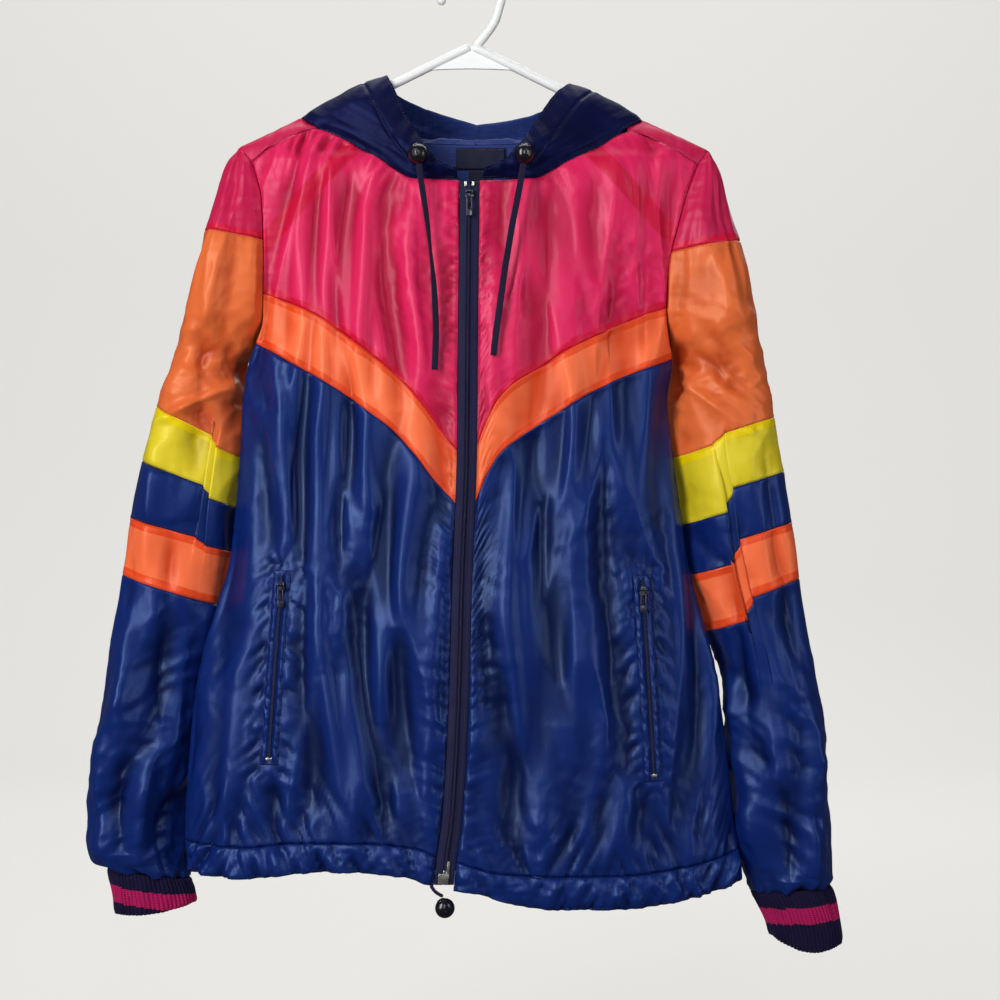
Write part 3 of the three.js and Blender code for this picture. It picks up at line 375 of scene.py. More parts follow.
@dataclass(frozen=True)
class Fold:
    """A hanging fold: a line from its top to its foot, its half width, and its height out of the cloth."""

    top_x: float
    top_z: float
    foot_x: float
    foot_z: float
    half: float
    out: float

    def height(self, x: np.ndarray, z: np.ndarray) -> np.ndarray:
        """How far the fold lifts the cloth.

        Args:
            x: places seen from the front.
            z: their heights.

        Returns:
            The lift at each place.
        """
        t = (self.top_z - z) / (self.top_z - self.foot_z)
        inside = np.clip(t, 1e-6, 1 - 1e-6)
        away = np.abs(x - mix(self.top_x, self.foot_x, t)) / self.half
        return np.where((t > 0) & (t < 1), self.out * np.exp(-(away**1.6)) * np.sin(np.pi * inside) ** 0.6, 0.0)


FRONT_FOLDS = [Fold(*row) for row in (
    (-178, -330, -196, -560, 11, 3.5), (-160, -350, -150, -500, 9, 4.5), (-134, -190, -152, -480, 8, 3.5),
    (-118, -160, -128, -610, 11, 4.5), (-96, -330, -112, -560, 8, -5), (-92, -200, -84, -470, 9, 4),
    (-60, -380, -98, -600, 10, -6), (-42, -400, -72, -640, 10, 5), (-56, -230, -36, -360, 9, 4),
    (-24, -470, -38, -740, 8, 5), (-118, -600, -100, -745, 14, 6), (-62, -560, -66, -745, 12, -6),
    (-190, -560, -214, -745, 13, 6), (-158, -690, -160, -750, 16, -5), (22, -200, 16, -420, 7, 3),
    (46, -220, 30, -400, 10, 4.5), (66, -190, 62, -380, 8, -4.5), (90, -160, 84, -480, 10, 4),
    (112, -190, 122, -480, 9, 4), (150, -200, 146, -470, 9, 4), (34, -430, 30, -620, 11, 5),
    (52, -400, 76, -640, 10, -6), (84, -420, 88, -740, 11, 6), (112, -400, 116, -640, 10, -5),
    (170, -380, 184, -640, 10, 4), (24, -590, 44, -765, 12, -7), (128, -680, 112, -760, 13, 6),
    (190, -600, 196, -750, 13, -5),
)]
BACK_FOLDS = [Fold(*row) for row in (
    (-150, -330, -190, -745, 14, 5), (-110, -190, -130, -700, 12, 4.5), (-72, -340, -84, -745, 12, -4.5),
    (-36, -200, -40, -720, 14, 5), (8, -350, 0, -745, 12, -4), (44, -200, 46, -735, 13, 5),
    (86, -330, 96, -745, 12, -4.5), (118, -190, 136, -720, 12, 4.5), (146, -350, 182, -745, 14, 4.5),
)]
# Middle of each pocket's zip, from its top to its foot
POCKETS = {
    Side.LEFT: ((-157, -512), (-168, -674)),
    Side.RIGHT: ((143, -516), (153, -688)),
}
POCKET_HALF = 7.5


def section(a: np.ndarray, z: np.ndarray) -> np.ndarray:
    """How full the body's section is: 1 in the middle and 0 at the edge.

    Args:
        a: places over the panel, 0 in the middle and 1 at the edge.
        z: their heights.

    Returns:
        The fullness: round below the armpit, flat at the armhole and full over the hanger's arms.
    """
    curve = 0.5 + 0.5 * smooth((z - ARMPIT_Z) / 40)
    fullness = 2.4 + 4 * smooth((z + 205) / 45)
    return np.maximum(0, 1 - np.abs(a) ** fullness) ** curve


def pocket_distance(side: Side, x: np.ndarray, z: np.ndarray) -> tuple[np.ndarray, np.ndarray]:
    """How far each place of a front lies from its pocket's zip.

    Args:
        side: which front.
        x: places across it.
        z: their heights.

    Returns:
        The distances beside the zip, and those beyond its ends.
    """
    (x0, z0), (x1, z1) = POCKETS[side]
    beside = np.abs(x - mix(x0, x1, (z0 - z) / (z0 - z1)))
    beyond = np.maximum(0, np.abs(z - (z0 + z1) / 2) - (z0 - z1) / 2)
    return beside, beyond


class Body:
    """The form of the jacket's fronts and back as they hang, with their large folds."""

    noise = Noise(11)
    fine = Noise(12)
    gathers = Noise(13)

    @staticmethod
    def front(side: Side, a: np.ndarray, z: np.ndarray) -> np.ndarray:
        """Points of one front.

        Args:
            side: which front.
            a: places over it, 0 at the zip and 1 at the side edge.
            z: their heights.

        Returns:
            The points, in millimetres.
        """
        x = mix(ZIP_X(z) + side.value * TAPE_HALF, EDGE[side](z), a)
        rim = FRONT_RIM(z)
        held = smooth(a / 0.06) * smooth((1 - a) / 0.12)
        beside, beyond = pocket_distance(side, x, z)
        free = np.maximum(smooth((beside - 8) / 12), smooth(beyond / 25))
        relief = sum(fold.height(x, z) for fold in FRONT_FOLDS) * free * held
        return np.stack([x, -(rim + (FRONT_DEPTH(z) - rim) * section(a, z) + relief), z], axis=-1)

    @staticmethod
    def back(a: np.ndarray, z: np.ndarray) -> np.ndarray:
        """Points of the back.

        Args:
            a: places over it, -1 at its left edge and 1 at its right.
            z: their heights.

        Returns:
            The points, in millimetres.
        """
        x = mix(EDGE[Side.LEFT](z), EDGE[Side.RIGHT](z), (a + 1) / 2)
        rim = BACK_RIM(z)
        held = smooth((1 - np.abs(a)) / 0.12)
        relief = sum(fold.height(x, z) for fold in BACK_FOLDS) * held
        return np.stack([x, rim + (BACK_DEPTH(z) - rim) * section(a, z) + relief, z], axis=-1)

    @classmethod
    def drape(cls, x: np.ndarray, z: np.ndarray, calm: float = 1.0) -> np.ndarray:
        """The folds of thin nylon that hangs: long, smooth and upright, with finer streaks between them.

        Args:
            x: places across the cloth, in millimetres.
            z: places down it.
            calm: how far the folds run before they break up, 1 on the body and less on a sleeve.

        Returns:
            The relief at each place.
        """
        wander = 22 * cls.fine.at(x / 110, z / 190 + 7)
        broad = cls.noise.at((x + wander) / 23, z / (125 * calm))
        ridge = 0.45 - 2.2 * np.abs(cls.noise.at((x + 0.6 * wander) / 34 + 50, z / (150 * calm) + 4))
        narrow = cls.gathers.at((x + wander) / 10 + 9, z / (60 * calm))
        here = smooth(0.3 + 1.5 * cls.gathers.at(x / 60 + 5, z / 90))
        crumpled = smooth(0.2 + 1.6 * cls.fine.at(x / 75 + 40, z / 110 + 12))
        return 6.2 * broad + 4.0 * ridge + 0.9 * here * narrow + 0.8 * crumpled * cls.rumple(x, z)

    @classmethod
    def rumple(cls, x: np.ndarray, z: np.ndarray) -> np.ndarray:
        """Short sharp creases in all directions, where the cloth is sewn in tight or was packed.

        Args:
            x: places across the cloth, in millimetres.
            z: places down it.

        Returns:
            The relief at each place.
        """
        one = cls.fine.creases((x - 0.5 * z) / 21 + 70, (z + 0.5 * x) / 34 + 23)
        two = cls.noise.creases((x + 0.7 * z) / 15 + 7, (z - 0.7 * x) / 27 + 61)
        return 0.8 * one + 0.6 * two

    @classmethod
    def hem_gathers(cls, x: np.ndarray, above: np.ndarray) -> np.ndarray:
        """Gathers of the elastic hem.

        Args:
            x: places along it, in millimetres.
            above: their heights above the seam of its tunnel.

        Returns:
            The relief at each place.
        """
        lean = x + 0.45 * above * np.sign(cls.fine.at(x / 80, 0.5) + 0.1)
        wave = cls.gathers.at(lean / 8.5, above / 60 + 3) + 0.55 * cls.gathers.at(lean / 4.3 + 9, above / 30)
        crease = cls.noise.creases(lean / 15 + 90, above / 40 + 2)
        # The tunnel itself is shirred into short pleats, which lean one way and the other
        pleat = cls.noise.creases((x + 0.4 * above) / 12 + 17, above / 44 + 4)
        pleat += 0.7 * cls.fine.creases((x - 0.5 * above) / 9 + 51, above / 36 + 9)
        shirred = 1.9 * pleat * smooth((5 - above) / 9)
        return (4.6 * wave + 1.3 * crease) * np.exp(-np.maximum(above, 0) / 34) + shirred

    @classmethod
    def zip_wave(cls, z: np.ndarray) -> np.ndarray:
        """How far the front zip waves out of its line, calm by the slider."""
        wave = 1.1 * cls.fine.at(z / 26 + 3, 0.5) + 0.5 * cls.fine.at(z / 11 + 8, 0.5)
        return wave * smooth((-215 - z) / 30) * smooth((z + 772) / 20)


# Finishes


def linear(hex_colour: str) -> tuple[float, float, float, float]:
    """Turns an sRGB hex colour such as "#14225A" into the linear RGBA that a shader takes."""
    values = [int(hex_colour[i : i + 2], 16) / 255 for i in (1, 3, 5)]
    r, g, b = (v / 12.92 if v <= 0.04045 else ((v + 0.055) / 1.055) ** 2.4 for v in values)
    return r, g, b, 1.0


def add(tree: bpy.types.NodeTree, kind: str, inputs: dict | None = None, **settings: object) -> bpy.types.Node:
    """Adds a node with its settings and links.

    Args:
        tree: the node tree.
        kind: the node's type, without the start that all shader nodes share.
        inputs: values or source sockets by the name or number of the input.
        settings: the node's own properties.

    Returns:
        The node.
    """
    node = tree.nodes.new("ShaderNode" + kind)
    for name, value in settings.items():
        setattr(node, name, value)
    for name, value in (inputs or {}).items():
        if isinstance(value, bpy.types.NodeSocket):
            tree.links.new(value, node.inputs[name])
        else:
            node.inputs[name].default_value = value
    return node


def new_material(name: str) -> tuple[bpy.types.Material, bpy.types.NodeTree, bpy.types.NodeSocket]:
    """Starts a material.

    Args:
        name: its name.

    Returns:
        The material, its empty node tree, and the socket with the place on the piece, in metres.
    """
    material = bpy.data.materials.new(name)
    material.use_nodes = True
    tree = material.node_tree
    tree.nodes.clear()
    return material, tree, add(tree, "TexCoord").outputs["Object"]


def surface(tree: bpy.types.NodeTree, inputs: dict) -> None:
    """Ends a material with its surface shader, whose inputs are given, and its output."""
    shader = add(tree, "BsdfPrincipled", inputs)
    add(tree, "OutputMaterial", {"Surface": shader.outputs["BSDF"]})


def bands(period_mm: float) -> float:
    """The scale of a band texture whose lines lie period_mm apart."""
    return 2 * math.pi / (20 * period_mm * MM)


def per_metre(size_mm: float) -> float:
    """The scale of a noise whose features are about size_mm across."""
    return 1 / (size_mm * MM)


@dataclass(frozen=True)
class CoatedNylon:
    """Nylon taffeta, woven, calendered and thinly coated: satiny, with broad soft highlights along its folds."""

    name: str
    shade: str
    # painted shade: the darker colour that the hollows between the folds are painted with
    hollow_shade: str
    sheen: str = "#FFFFFF"
    roughness: float = 0.4
    backed: str = ""

    def backing(
        self, tree: bpy.types.NodeTree, place: bpy.types.NodeSocket, tone: bpy.types.Node
    ) -> bpy.types.Node:
        """Shows the diagonal stay inside each shoulder, where thin cloth lies double and its colour is deeper.

        Args:
            tree: the material's node tree.
            place: the place on the cloth, in metres.
            tone: the colour without it.

        Returns:
            The node with the colour.
        """
        parts = add(tree, "SeparateXYZ", {"Vector": place})
        beside = add(tree, "Math", {0: parts.outputs["X"]}, operation="ABSOLUTE")
        # The stay's middle runs through x 138 mm, z -197 mm, at 47 degrees, and it is 15 mm wide
        across = add(tree, "Math", {0: beside.outputs[0], 1: 0.735}, operation="MULTIPLY")
        down = add(tree, "Math", {0: parts.outputs["Z"], 1: 0.68, 2: 0.0327}, operation="MULTIPLY_ADD")
        off = add(tree, "Math", {0: across.outputs[0], 1: down.outputs[0]}, operation="ADD")
        far = add(tree, "Math", {0: off.outputs[0]}, operation="ABSOLUTE")
        inside = add(
            tree, "MapRange",
            {"Value": far.outputs[0], "From Min": 0.0085, "From Max": 0.0068, "To Min": 0.0, "To Max": 0.75},
        )
        mixed = {0: inside.outputs["Result"], 6: tone.outputs[2], 7: linear(self.backed)}
        return add(tree, "Mix", mixed, data_type="RGBA")

    def make(self) -> bpy.types.Material:
        """Builds the material."""
        material, tree, place = new_material(self.name)
        # The coat dries a little uneven: broad clouds in colour and gloss, 40 mm across
        clouds = add(tree, "TexNoise", {"Vector": place, "Scale": per_metre(40), "Detail": 3.0})
        # Painted shade: the colour is darkened in the hollows between the folds, where thin cloth lies on itself and
        # lets less light back out
        hollow_shade = add(tree, "Attribute", attribute_name="hollow_shade")
        shade = add(tree, "Math", {0: hollow_shade.outputs["Fac"], 1: 1.5, 2: -0.65}, operation="MULTIPLY_ADD")
        # Painted shade and clouds together carry the lit colour toward the darker one
        both = add(
            tree, "Math", {0: clouds.outputs["Fac"], 1: 0.5, 2: shade.outputs[0]},
            operation="MULTIPLY_ADD", use_clamp=True,
        )
        mixed = {0: both.outputs[0], 6: linear(self.shade), 7: linear(self.hollow_shade)}
        tone = add(tree, "Mix", mixed, data_type="RGBA")
        if self.backed:
            tone = self.backing(tree, place, tone)
        gloss = add(
            tree, "MapRange",
            {"Value": clouds.outputs["Fac"], "From Min": 0.3, "From Max": 0.7,
             "To Min": self.roughness - 0.05, "To Max": self.roughness + 0.06},
        )
        # Fine crinkles from folding, 5 mm apart, soften the edges of the highlights
        crinkle = add(
            tree, "TexNoise", {"Vector": place, "Scale": per_metre(5), "Detail": 4.0, "Distortion": 0.6},
        )
        first = add(
            tree, "Bump", {"Height": crinkle.outputs["Fac"], "Strength": 0.3, "Distance": 0.35 * MM},
        )
        # Taffeta's threads lie 0.2 mm apart: drawn at 1.1 mm, so that they still show
        warp = add(
            tree, "TexWave", {"Vector": place, "Scale": bands(1.1), "Distortion": 0.6}, bands_direction="X",
        )
        weft = add(
            tree, "TexWave", {"Vector": place, "Scale": bands(1.1), "Distortion": 0.6}, bands_direction="Z",
        )
        weave = add(
            tree, "Math", {0: warp.outputs["Fac"], 1: weft.outputs["Fac"]}, operation="MULTIPLY",
        )
        bump = add(
            tree, "Bump",
            {"Height": weave.outputs[0], "Strength": 0.3, "Distance": 0.06 * MM, "Normal": first.outputs["Normal"]},
        )
        surface(tree, {
            "Base Color": tone.outputs[2], "Roughness": gloss.outputs["Result"], "Normal": bump.outputs["Normal"],
            "IOR": 1.53, "Specular IOR Level": 0.47, "Specular Tint": linear(self.sheen),
        })
        return material


@dataclass(frozen=True)
class Textile:
    """A matt woven or knitted cloth, tape, ribbon or thread, with one clear pattern of threads."""

    name: str
    shade: str
    # painted shade: the darker colour that the grooves between the threads are painted with
    hollow_shade: str
    thread_mm: float
    direction: str = "Z"
    roughness: float = 0.8
    sheen: float = 0.35
    depth_mm: float = 0.15

    def make(self) -> bpy.types.Material:
        """Builds the material."""
        material, tree, place = new_material(self.name)
        threads = add(
            tree, "TexWave",
            {"Vector": place, "Scale": bands(self.thread_mm), "Distortion": 1.2, "Detail": 2.0},
            bands_direction=self.direction,
        )
        fuzz = add(tree, "TexNoise", {"Vector": place, "Scale": per_metre(1.2), "Detail": 3.0})
        height = add(tree, "Math", {0: threads.outputs["Fac"], 1: fuzz.outputs["Fac"]}, operation="ADD")
        bump = add(
            tree, "Bump", {"Height": height.outputs[0], "Strength": 0.6, "Distance": self.depth_mm * MM},
        )
        # Painted shade in the grooves between the threads, where the bump dips
        mixed = {0: threads.outputs["Fac"], 6: linear(self.hollow_shade), 7: linear(self.shade)}
        tone = add(tree, "Mix", mixed, data_type="RGBA")
        surface(tree, {
            "Base Color": tone.outputs[2], "Roughness": self.roughness, "Normal": bump.outputs["Normal"],
            "Sheen Weight": self.sheen, "Sheen Roughness": 0.5, "Specular IOR Level": 0.25,
        })
        return material


@dataclass(frozen=True)
class MeshLining:
    """Warp-knitted polyester mesh: soft, with rows of small round holes 2.5 mm apart."""

    name: str
    shade: str
    hole: str

    def make(self) -> bpy.types.Material:
        """Builds the material."""
        material, tree, place = new_material(self.name)
        holes = add(tree, "TexVoronoi", {"Vector": place, "Scale": per_metre(2.5), "Randomness": 0.25})
        ring = add(
            tree, "MapRange", {"Value": holes.outputs["Distance"], "From Min": 0.22, "From Max": 0.36},
        )
        mixed = {0: ring.outputs["Result"], 6: linear(self.hole), 7: linear(self.shade)}
        tone = add(tree, "Mix", mixed, data_type="RGBA")
        bump = add(
            tree, "Bump", {"Height": ring.outputs["Result"], "Strength": 0.7, "Distance": 0.3 * MM},
        )
        surface(tree, {
            "Base Color": tone.outputs[2], "Roughness": 0.7, "Normal": bump.outputs["Normal"],
            "Sheen Weight": 0.3, "Sheen Roughness": 0.4,
        })
        return material


@dataclass(frozen=True)
class Moulded:
    """A moulded plastic or a lacquered die casting: smooth, with a faint orange-peel and dust-fine scuffs."""

    name: str
    shade: str
    roughness: float
    ior: float = 1.5
    metallic: float = 0.0
    coat: float = 0.2

    def make(self) -> bpy.types.Material:
        """Builds the material."""
        material, tree, place = new_material(self.name)
        peel = add(tree, "TexNoise", {"Vector": place, "Scale": per_metre(5), "Detail": 2.0})
        scuffs = add(tree, "TexNoise", {"Vector": place, "Scale": per_metre(14), "Detail": 8.0})
        gloss = add(
            tree, "MapRange",
            {"Value": scuffs.outputs["Fac"], "From Min": 0.35, "From Max": 0.7,
             "To Min": self.roughness - 0.06, "To Max": self.roughness + 0.12},
        )
        bump = add(
            tree, "Bump", {"Height": peel.outputs["Fac"], "Strength": 0.25, "Distance": 0.12 * MM},
        )
        surface(tree, {
            "Base Color": linear(self.shade), "Roughness": gloss.outputs["Result"], "Metallic": self.metallic,
            "Normal": bump.outputs["Normal"], "IOR": self.ior, "Coat Weight": self.coat, "Coat Roughness": 0.15,
        })
        return material


@dataclass(frozen=True)
class StudioPaper:
    """Paper off a wide roll, matt and even, lit from behind so that it looks pale from every side."""

    name: str
    shade: str
    albedo: str
    glow: float

    def make(self) -> bpy.types.Material:
        """Builds the material: its own glow shows to the camera and throws no light on the cloth."""
        material, tree, place = new_material(self.name)
        fibres = add(tree, "TexNoise", {"Vector": place, "Scale": per_metre(30), "Detail": 4.0})
        gloss = add(
            tree, "MapRange", {"Value": fibres.outputs["Fac"], "To Min": 0.88, "To Max": 0.96},
        )
        seen = add(tree, "LightPath").outputs["Is Camera Ray"]
        glow = add(tree, "Math", {0: seen, 1: self.glow}, operation="MULTIPLY")
        surface(tree, {
            "Base Color": linear(self.albedo), "Roughness": gloss.outputs["Result"], "Specular IOR Level": 0.1,
            "Emission Color": linear(self.shade), "Emission Strength": glow.outputs[0],
        })
        return material


# Each nylon's second colour is painted shade for the hollows between its folds
PINK_NYLON = CoatedNylon("pink_nylon", "#C21A4C", "#94042E", "#FFB4C8")
YOKE_NYLON = CoatedNylon("pink_yoke_nylon", "#D92059", "#A60434", "#FFB4C8", backed="#C0022D")
ORANGE_NYLON = CoatedNylon("orange_nylon", "#F97043", "#CC4016", "#FFD8B8")
SLEEVE_NYLON = CoatedNylon("burnt_orange_nylon", "#E06A36", "#AE380E", "#FFD8B8")
YELLOW_NYLON = CoatedNylon("yellow_nylon", "#DCC828", "#B09A08", "#FFF6A8")
NAVY_NYLON = CoatedNylon("navy_nylon", "#0A2264", "#010B3A", "#A0C0FF", 0.38)
HOOD_NYLON = CoatedNylon("dark_navy_nylon", "#080C34", "#020318", "#5C68B0", 0.44)
# Where a seam's allowance lies behind thin cloth, two layers show and the colour is deeper
PINK_DOUBLE = CoatedNylon("pink_nylon_doubled", "#CE0636", "#B00028", "#FFB4C8")
ORANGE_DOUBLE = CoatedNylon("orange_nylon_doubled", "#E84A1E", "#CC320C", "#FFD8B8")
YELLOW_DOUBLE = CoatedNylon("yellow_nylon_doubled", "#EACE00", "#CCAE00", "#FFF6A8")
# The second colour of each rib, tape, cord, ribbon and thread below is painted shade for the grooves between its
# threads
# Knitted 2 by 2 rib of cotton with elastane, brushed by wear, so it drinks the light
NAVY_RIB = Textile("navy_rib_knit", "#13053C", "#06021E", 1.6, "Z", 0.9, 0.04, 0.2)
MAGENTA_RIB = Textile("magenta_rib_knit", "#BC0E5E", "#8A0844", 1.6, "Z", 0.9, 0.05, 0.2)
# Zip tape is a polyester twill, dyed and heat set: nearly matt, with fine slanting lines
ZIP_TAPE = Textile("zip_tape_twill", "#151545", "#0A0A2C", 1.0, "DIAGONAL", 0.72, 0.1, 0.1)
# Braided polyester cord, matt
BRAID = Textile("braided_cord", "#150C38", "#07041A", 1.5, "DIAGONAL", 0.75, 0.12, 0.25)
# Polyester satin ribbon, heat cut
SATIN = Textile("label_satin", "#0C1238", "#080C26", 0.9, "Z", 0.55, 0.05, 0.05)
PINK_THREAD = Textile("pink_thread", "#B5183F", "#7E0D29", 0.9, "Z", 0.6)
ORANGE_THREAD = Textile("orange_thread", "#D2542A", "#A03A1A", 0.9, "Z", 0.6)
YELLOW_THREAD = Textile("yellow_thread", "#C8BA18", "#9A8F10", 0.9, "Z", 0.6)
NAVY_THREAD = Textile("navy_thread", "#0A1640", "#060C26", 0.9, "Z", 0.6)
LINING_MESH = MeshLining("mesh_lining", "#0B2A74", "#061A50")
# Polypropylene, moulded hollow and glossy white
HANGER_PLASTIC = Moulded("white_polypropylene", "#F1F2F3", 0.3, 1.49)
# Acetal cord stoppers, tumbled until they shine
STOPPER_PLASTIC = Moulded("black_acetal", "#0C0C16", 0.24, 1.48, 0.0, 0.4)
# Zinc die castings, plated and lacquered nearly black
SLIDER_METAL = Moulded("lacquered_zinc", "#191B33", 0.3, 1.5, 0.35, 0.5)
# Nylon monofilament coil, dyed with its tape
COIL_NYLON = Moulded("coil_monofilament", "#11123A", 0.42, 1.5, 0.0, 0.0)
# Nickel-plated end stops and pin box
NICKEL = Moulded("nickel_plate", "#C9C6BE", 0.25, 1.5, 1.0, 0.0)
STUDIO_PAPER = StudioPaper("studio_paper", "#F0EFEC", "#8E8D8A", 0.67)

ORANGE_LOOKS = [ORANGE_NYLON, ORANGE_NYLON, ORANGE_DOUBLE]
Finish = CoatedNylon | Textile | MeshLining | Moulded | StudioPaper
MADE: dict[str, bpy.types.Material] = {}


def finish_of(look: Finish) -> bpy.types.Material:
    """The material of a finish, made the first time it is asked for."""
    if look.name not in MADE:
        MADE[look.name] = look.make()
    return MADE[look.name]


# Dressing


def dress(
    obj: bpy.types.Object, looks: Iterable[Finish], nodes: Sequence[str] = (), body: str = "jacket"
) -> bpy.types.Object:
    """Gives a piece its finishes, its body and the CAD nodes that it stands for.

    Args:
        obj: the piece.
        looks: its finishes, one for each material slot.
        nodes: the CAD nodes that it replaces.
        body: the body that it rides on.

    Returns:
        The piece.
    """
    for look in looks:
        obj.data.materials.append(finish_of(look))
    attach(obj, body)
    if nodes:
        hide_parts(*nodes)
    log.info("%s: %d faces", obj.name, len(obj.data.polygons) if obj.type == "MESH" else 0)
    return obj


SHEETS: dict[str, list[int]] = {}
# No cut here fills less of its rectangle than this
LEAST_FILL = 0.45


def declare_sheet(
    obj: bpy.types.Object, points: np.ndarray
) -> None:
    """States the flat size of a cloth piece, measured along the cloth.

    Args:
        obj: the piece.
        points: the grid of points that it was made from, in millimetres.
    """
    left, _, foot, _ = edge_distances(points)
    width, length = float(left[-1].max()), float(foot[:, -1].max())
    cross = np.cross(points[1:, :-1] - points[:-1, :-1], points[:-1, 1:] - points[:-1, :-1])
    area = float(np.linalg.norm(cross, axis=2).sum())
    # A wedge's longest row and longest column overstate its cut
    width = min(width, area / (LEAST_FILL * length))
    area = min(area, width * length)
    SHEETS[obj.name] = [round(width), round(length), round(area / 100)]


def line_on(points: np.ndarray, outward: int, edge: str, inset: float, lift: float = 0.45) -> np.ndarray:
    """A line that runs along one edge of a cloth grid.

    Args:
        points: the grid, (columns, rows, 3).
        outward: 1 where across x up faces out, else -1.
        edge: left, right, foot or top.
        inset: how far in from the edge it runs, in millimetres.
        lift: how far it stands off the middle of the cloth.

    Returns:
        The line's points and normals, (n, 2, 3).
    """
    facing = normals(points, outward)
    raised = points + facing * lift
    distance = dict(zip(("left", "right", "foot", "top"), edge_distances(points)))[edge]
    if edge in ("foot", "top"):
        chains = [(distance[i], raised[i], facing[i]) for i in range(points.shape[0])]
    else:
        chains = [(distance[:, j], raised[:, j], facing[:, j]) for j in range(points.shape[1])]
    line = []
    for far, chain, normal in chains:
        order = np.argsort(far)
        place = [np.interp(inset, far[order], chain[order, k]) for k in range(3)]
        way = [np.interp(inset, far[order], normal[order, k]) for k in range(3)]
        line.append((place, way))
    return np.array(line)


def stitch_mesh(name: str, lines: Sequence[np.ndarray], pitch: float = 3.0, width: float = 0.42) -> bpy.types.Object:
    """Makes rows of lockstitches, each a small spindle of thread that dips into the cloth at its ends.

    Args:
        name: the piece's name.
        lines: rows of points with normals, (n, 2, 3), in millimetres.
        pitch: from one stitch to the next, in millimetres.
        width: the thread's width.

    Returns:
        The object.
    """
    points, faces = [], []
    for line in lines:
        path, run = line[:, 0], run_of(line[:, 0])
        count = max(1, int(run[-1] / pitch))
        at = (np.arange(count) + 0.5) * run[-1] / count
        middle, up = along(path, at, run), unit(along(line[:, 1], at, run))
        head, tail = along(path, at + pitch * 0.42, run), along(path, at - pitch * 0.42, run)
        beside = np.cross(unit(head - tail), up)
        ring = [middle + way * width * 0.5 for way in (up, beside, -up, -beside)]
        ends = [tail - up * width * 0.6, head - up * width * 0.6]
        for i in range(count):
            base = len(points)
            points.extend([ends[0][i], ends[1][i], *(r[i] for r in ring)])
            for k in range(4):
                one, two = base + 2 + k, base + 2 + (k + 1) % 4
                faces.extend([(base, two, one), (base + 1, one, two)])
    return mesh_object(name, np.array(points), faces)


@dataclass
class Sewn:
    """A sub-assembly that notes its seam lines, each with its thread, for the stitches."""

    stitches: list[tuple[str, np.ndarray]] = field(default_factory=list)

    def stitch(
        self, thread: str, points: np.ndarray, outward: int, insets: dict[str, float], lift: float = 0.45
    ) -> None:
        """Notes lines that run along the edges of a cloth grid.

        Args:
            thread: the thread's colour.
            points: the grid, (columns, rows, 3).
            outward: 1 where across x up faces out, else -1.
            insets: how far in from each edge its line runs, in millimetres.
            lift: how far the lines stand off the middle of the cloth.
        """
        for edge, inset in insets.items():
            self.stitches.append((thread, line_on(points, outward, edge, inset, lift)))


@dataclass
class Shell(Sewn):
    """What all sewn cloth pieces share: how their seams draw in and how they are made."""

    thickness: float = 0.5
    allowance: float = 6.5
    seam_dip: float = 0.3
    pucker: float = 1.1
    noise: Noise = field(default_factory=lambda: Noise(21))

    def sew(self, points: np.ndarray, outward: int, seams: str, relief: np.ndarray) -> np.ndarray:
        """Raises a grid's relief and draws its sewn edges in.

        Args:
            points: the grid, (columns, rows, 3).
            outward: 1 where across x up faces out, else -1.
            seams: the sewn edges, among l, r, f and t for left, right, foot and top.
            relief: the height of the small folds at each point.

        Returns:
            The new grid.
        """
        x, z = points[..., 0], points[..., 2]
        height = relief.copy()
        distances = dict(zip("lrft", edge_distances(points)))
        for edge in seams:
            far = distances[edge]
            calm = np.exp(-far / 4.5)
            height *= 1 - 0.5 * calm
            if edge in "ft":
                wave = self.noise.at(x / 5.5, z / 50) + 0.5 * self.noise.at(x / 11 + 17, z / 60)
            else:
                wave = self.noise.at(x / 50, z / 5.5) + 0.5 * self.noise.at(x / 60 + 17, z / 11)
            height += self.pucker * wave * np.exp(-far / 8) * (1 - np.exp(-far / 1.5))
            height -= self.seam_dip * np.exp(-((far / 1.1) ** 2))
        return points + normals(points, outward) * height[..., None]

    def make(
        self, node: str, points: np.ndarray, outward: int, looks: Sequence[Finish], slot: str,
        held: str = "hung", doubled: str = "",
    ) -> None:
        """Makes, dresses and declares one cloth piece that stands for a CAD node.

        Args:
            node: the CAD node.
            points: the piece's grid, in millimetres.
            outward: 1 where across x up faces out, else -1.
            looks: its outer finish, its inner one, and the one where its seam allowance lies behind it.
            slot: the record's material slot; not used.
            held: how the cloth is held; not used.
            doubled: the edges with such an allowance, f for the foot and t for the top.
        """
        obj = cloth_object(f"{node}_cloth", points, outward, self.thickness)
        dress(obj, looks, [node])
        columns, rows = points.shape[0] - 1, points.shape[1] - 1
        outer = np.zeros((columns, rows), int)
        inner = np.full((columns, rows), min(1, len(looks) - 1))
        _, _, below, beyond = edge_distances(points)
        for edge, far in (("f", below), ("t", beyond)):
            if edge in doubled:
                outer[(far[1:, 1:] + far[:-1, :-1]) / 2 < self.allowance] = len(looks) - 1
        index = np.concatenate([outer.ravel(), inner.ravel(), np.zeros(2 * (columns + rows), int)])
        obj.data.polygons.foreach_set("material_index", index.tolist())
        declare_sheet(obj, points)


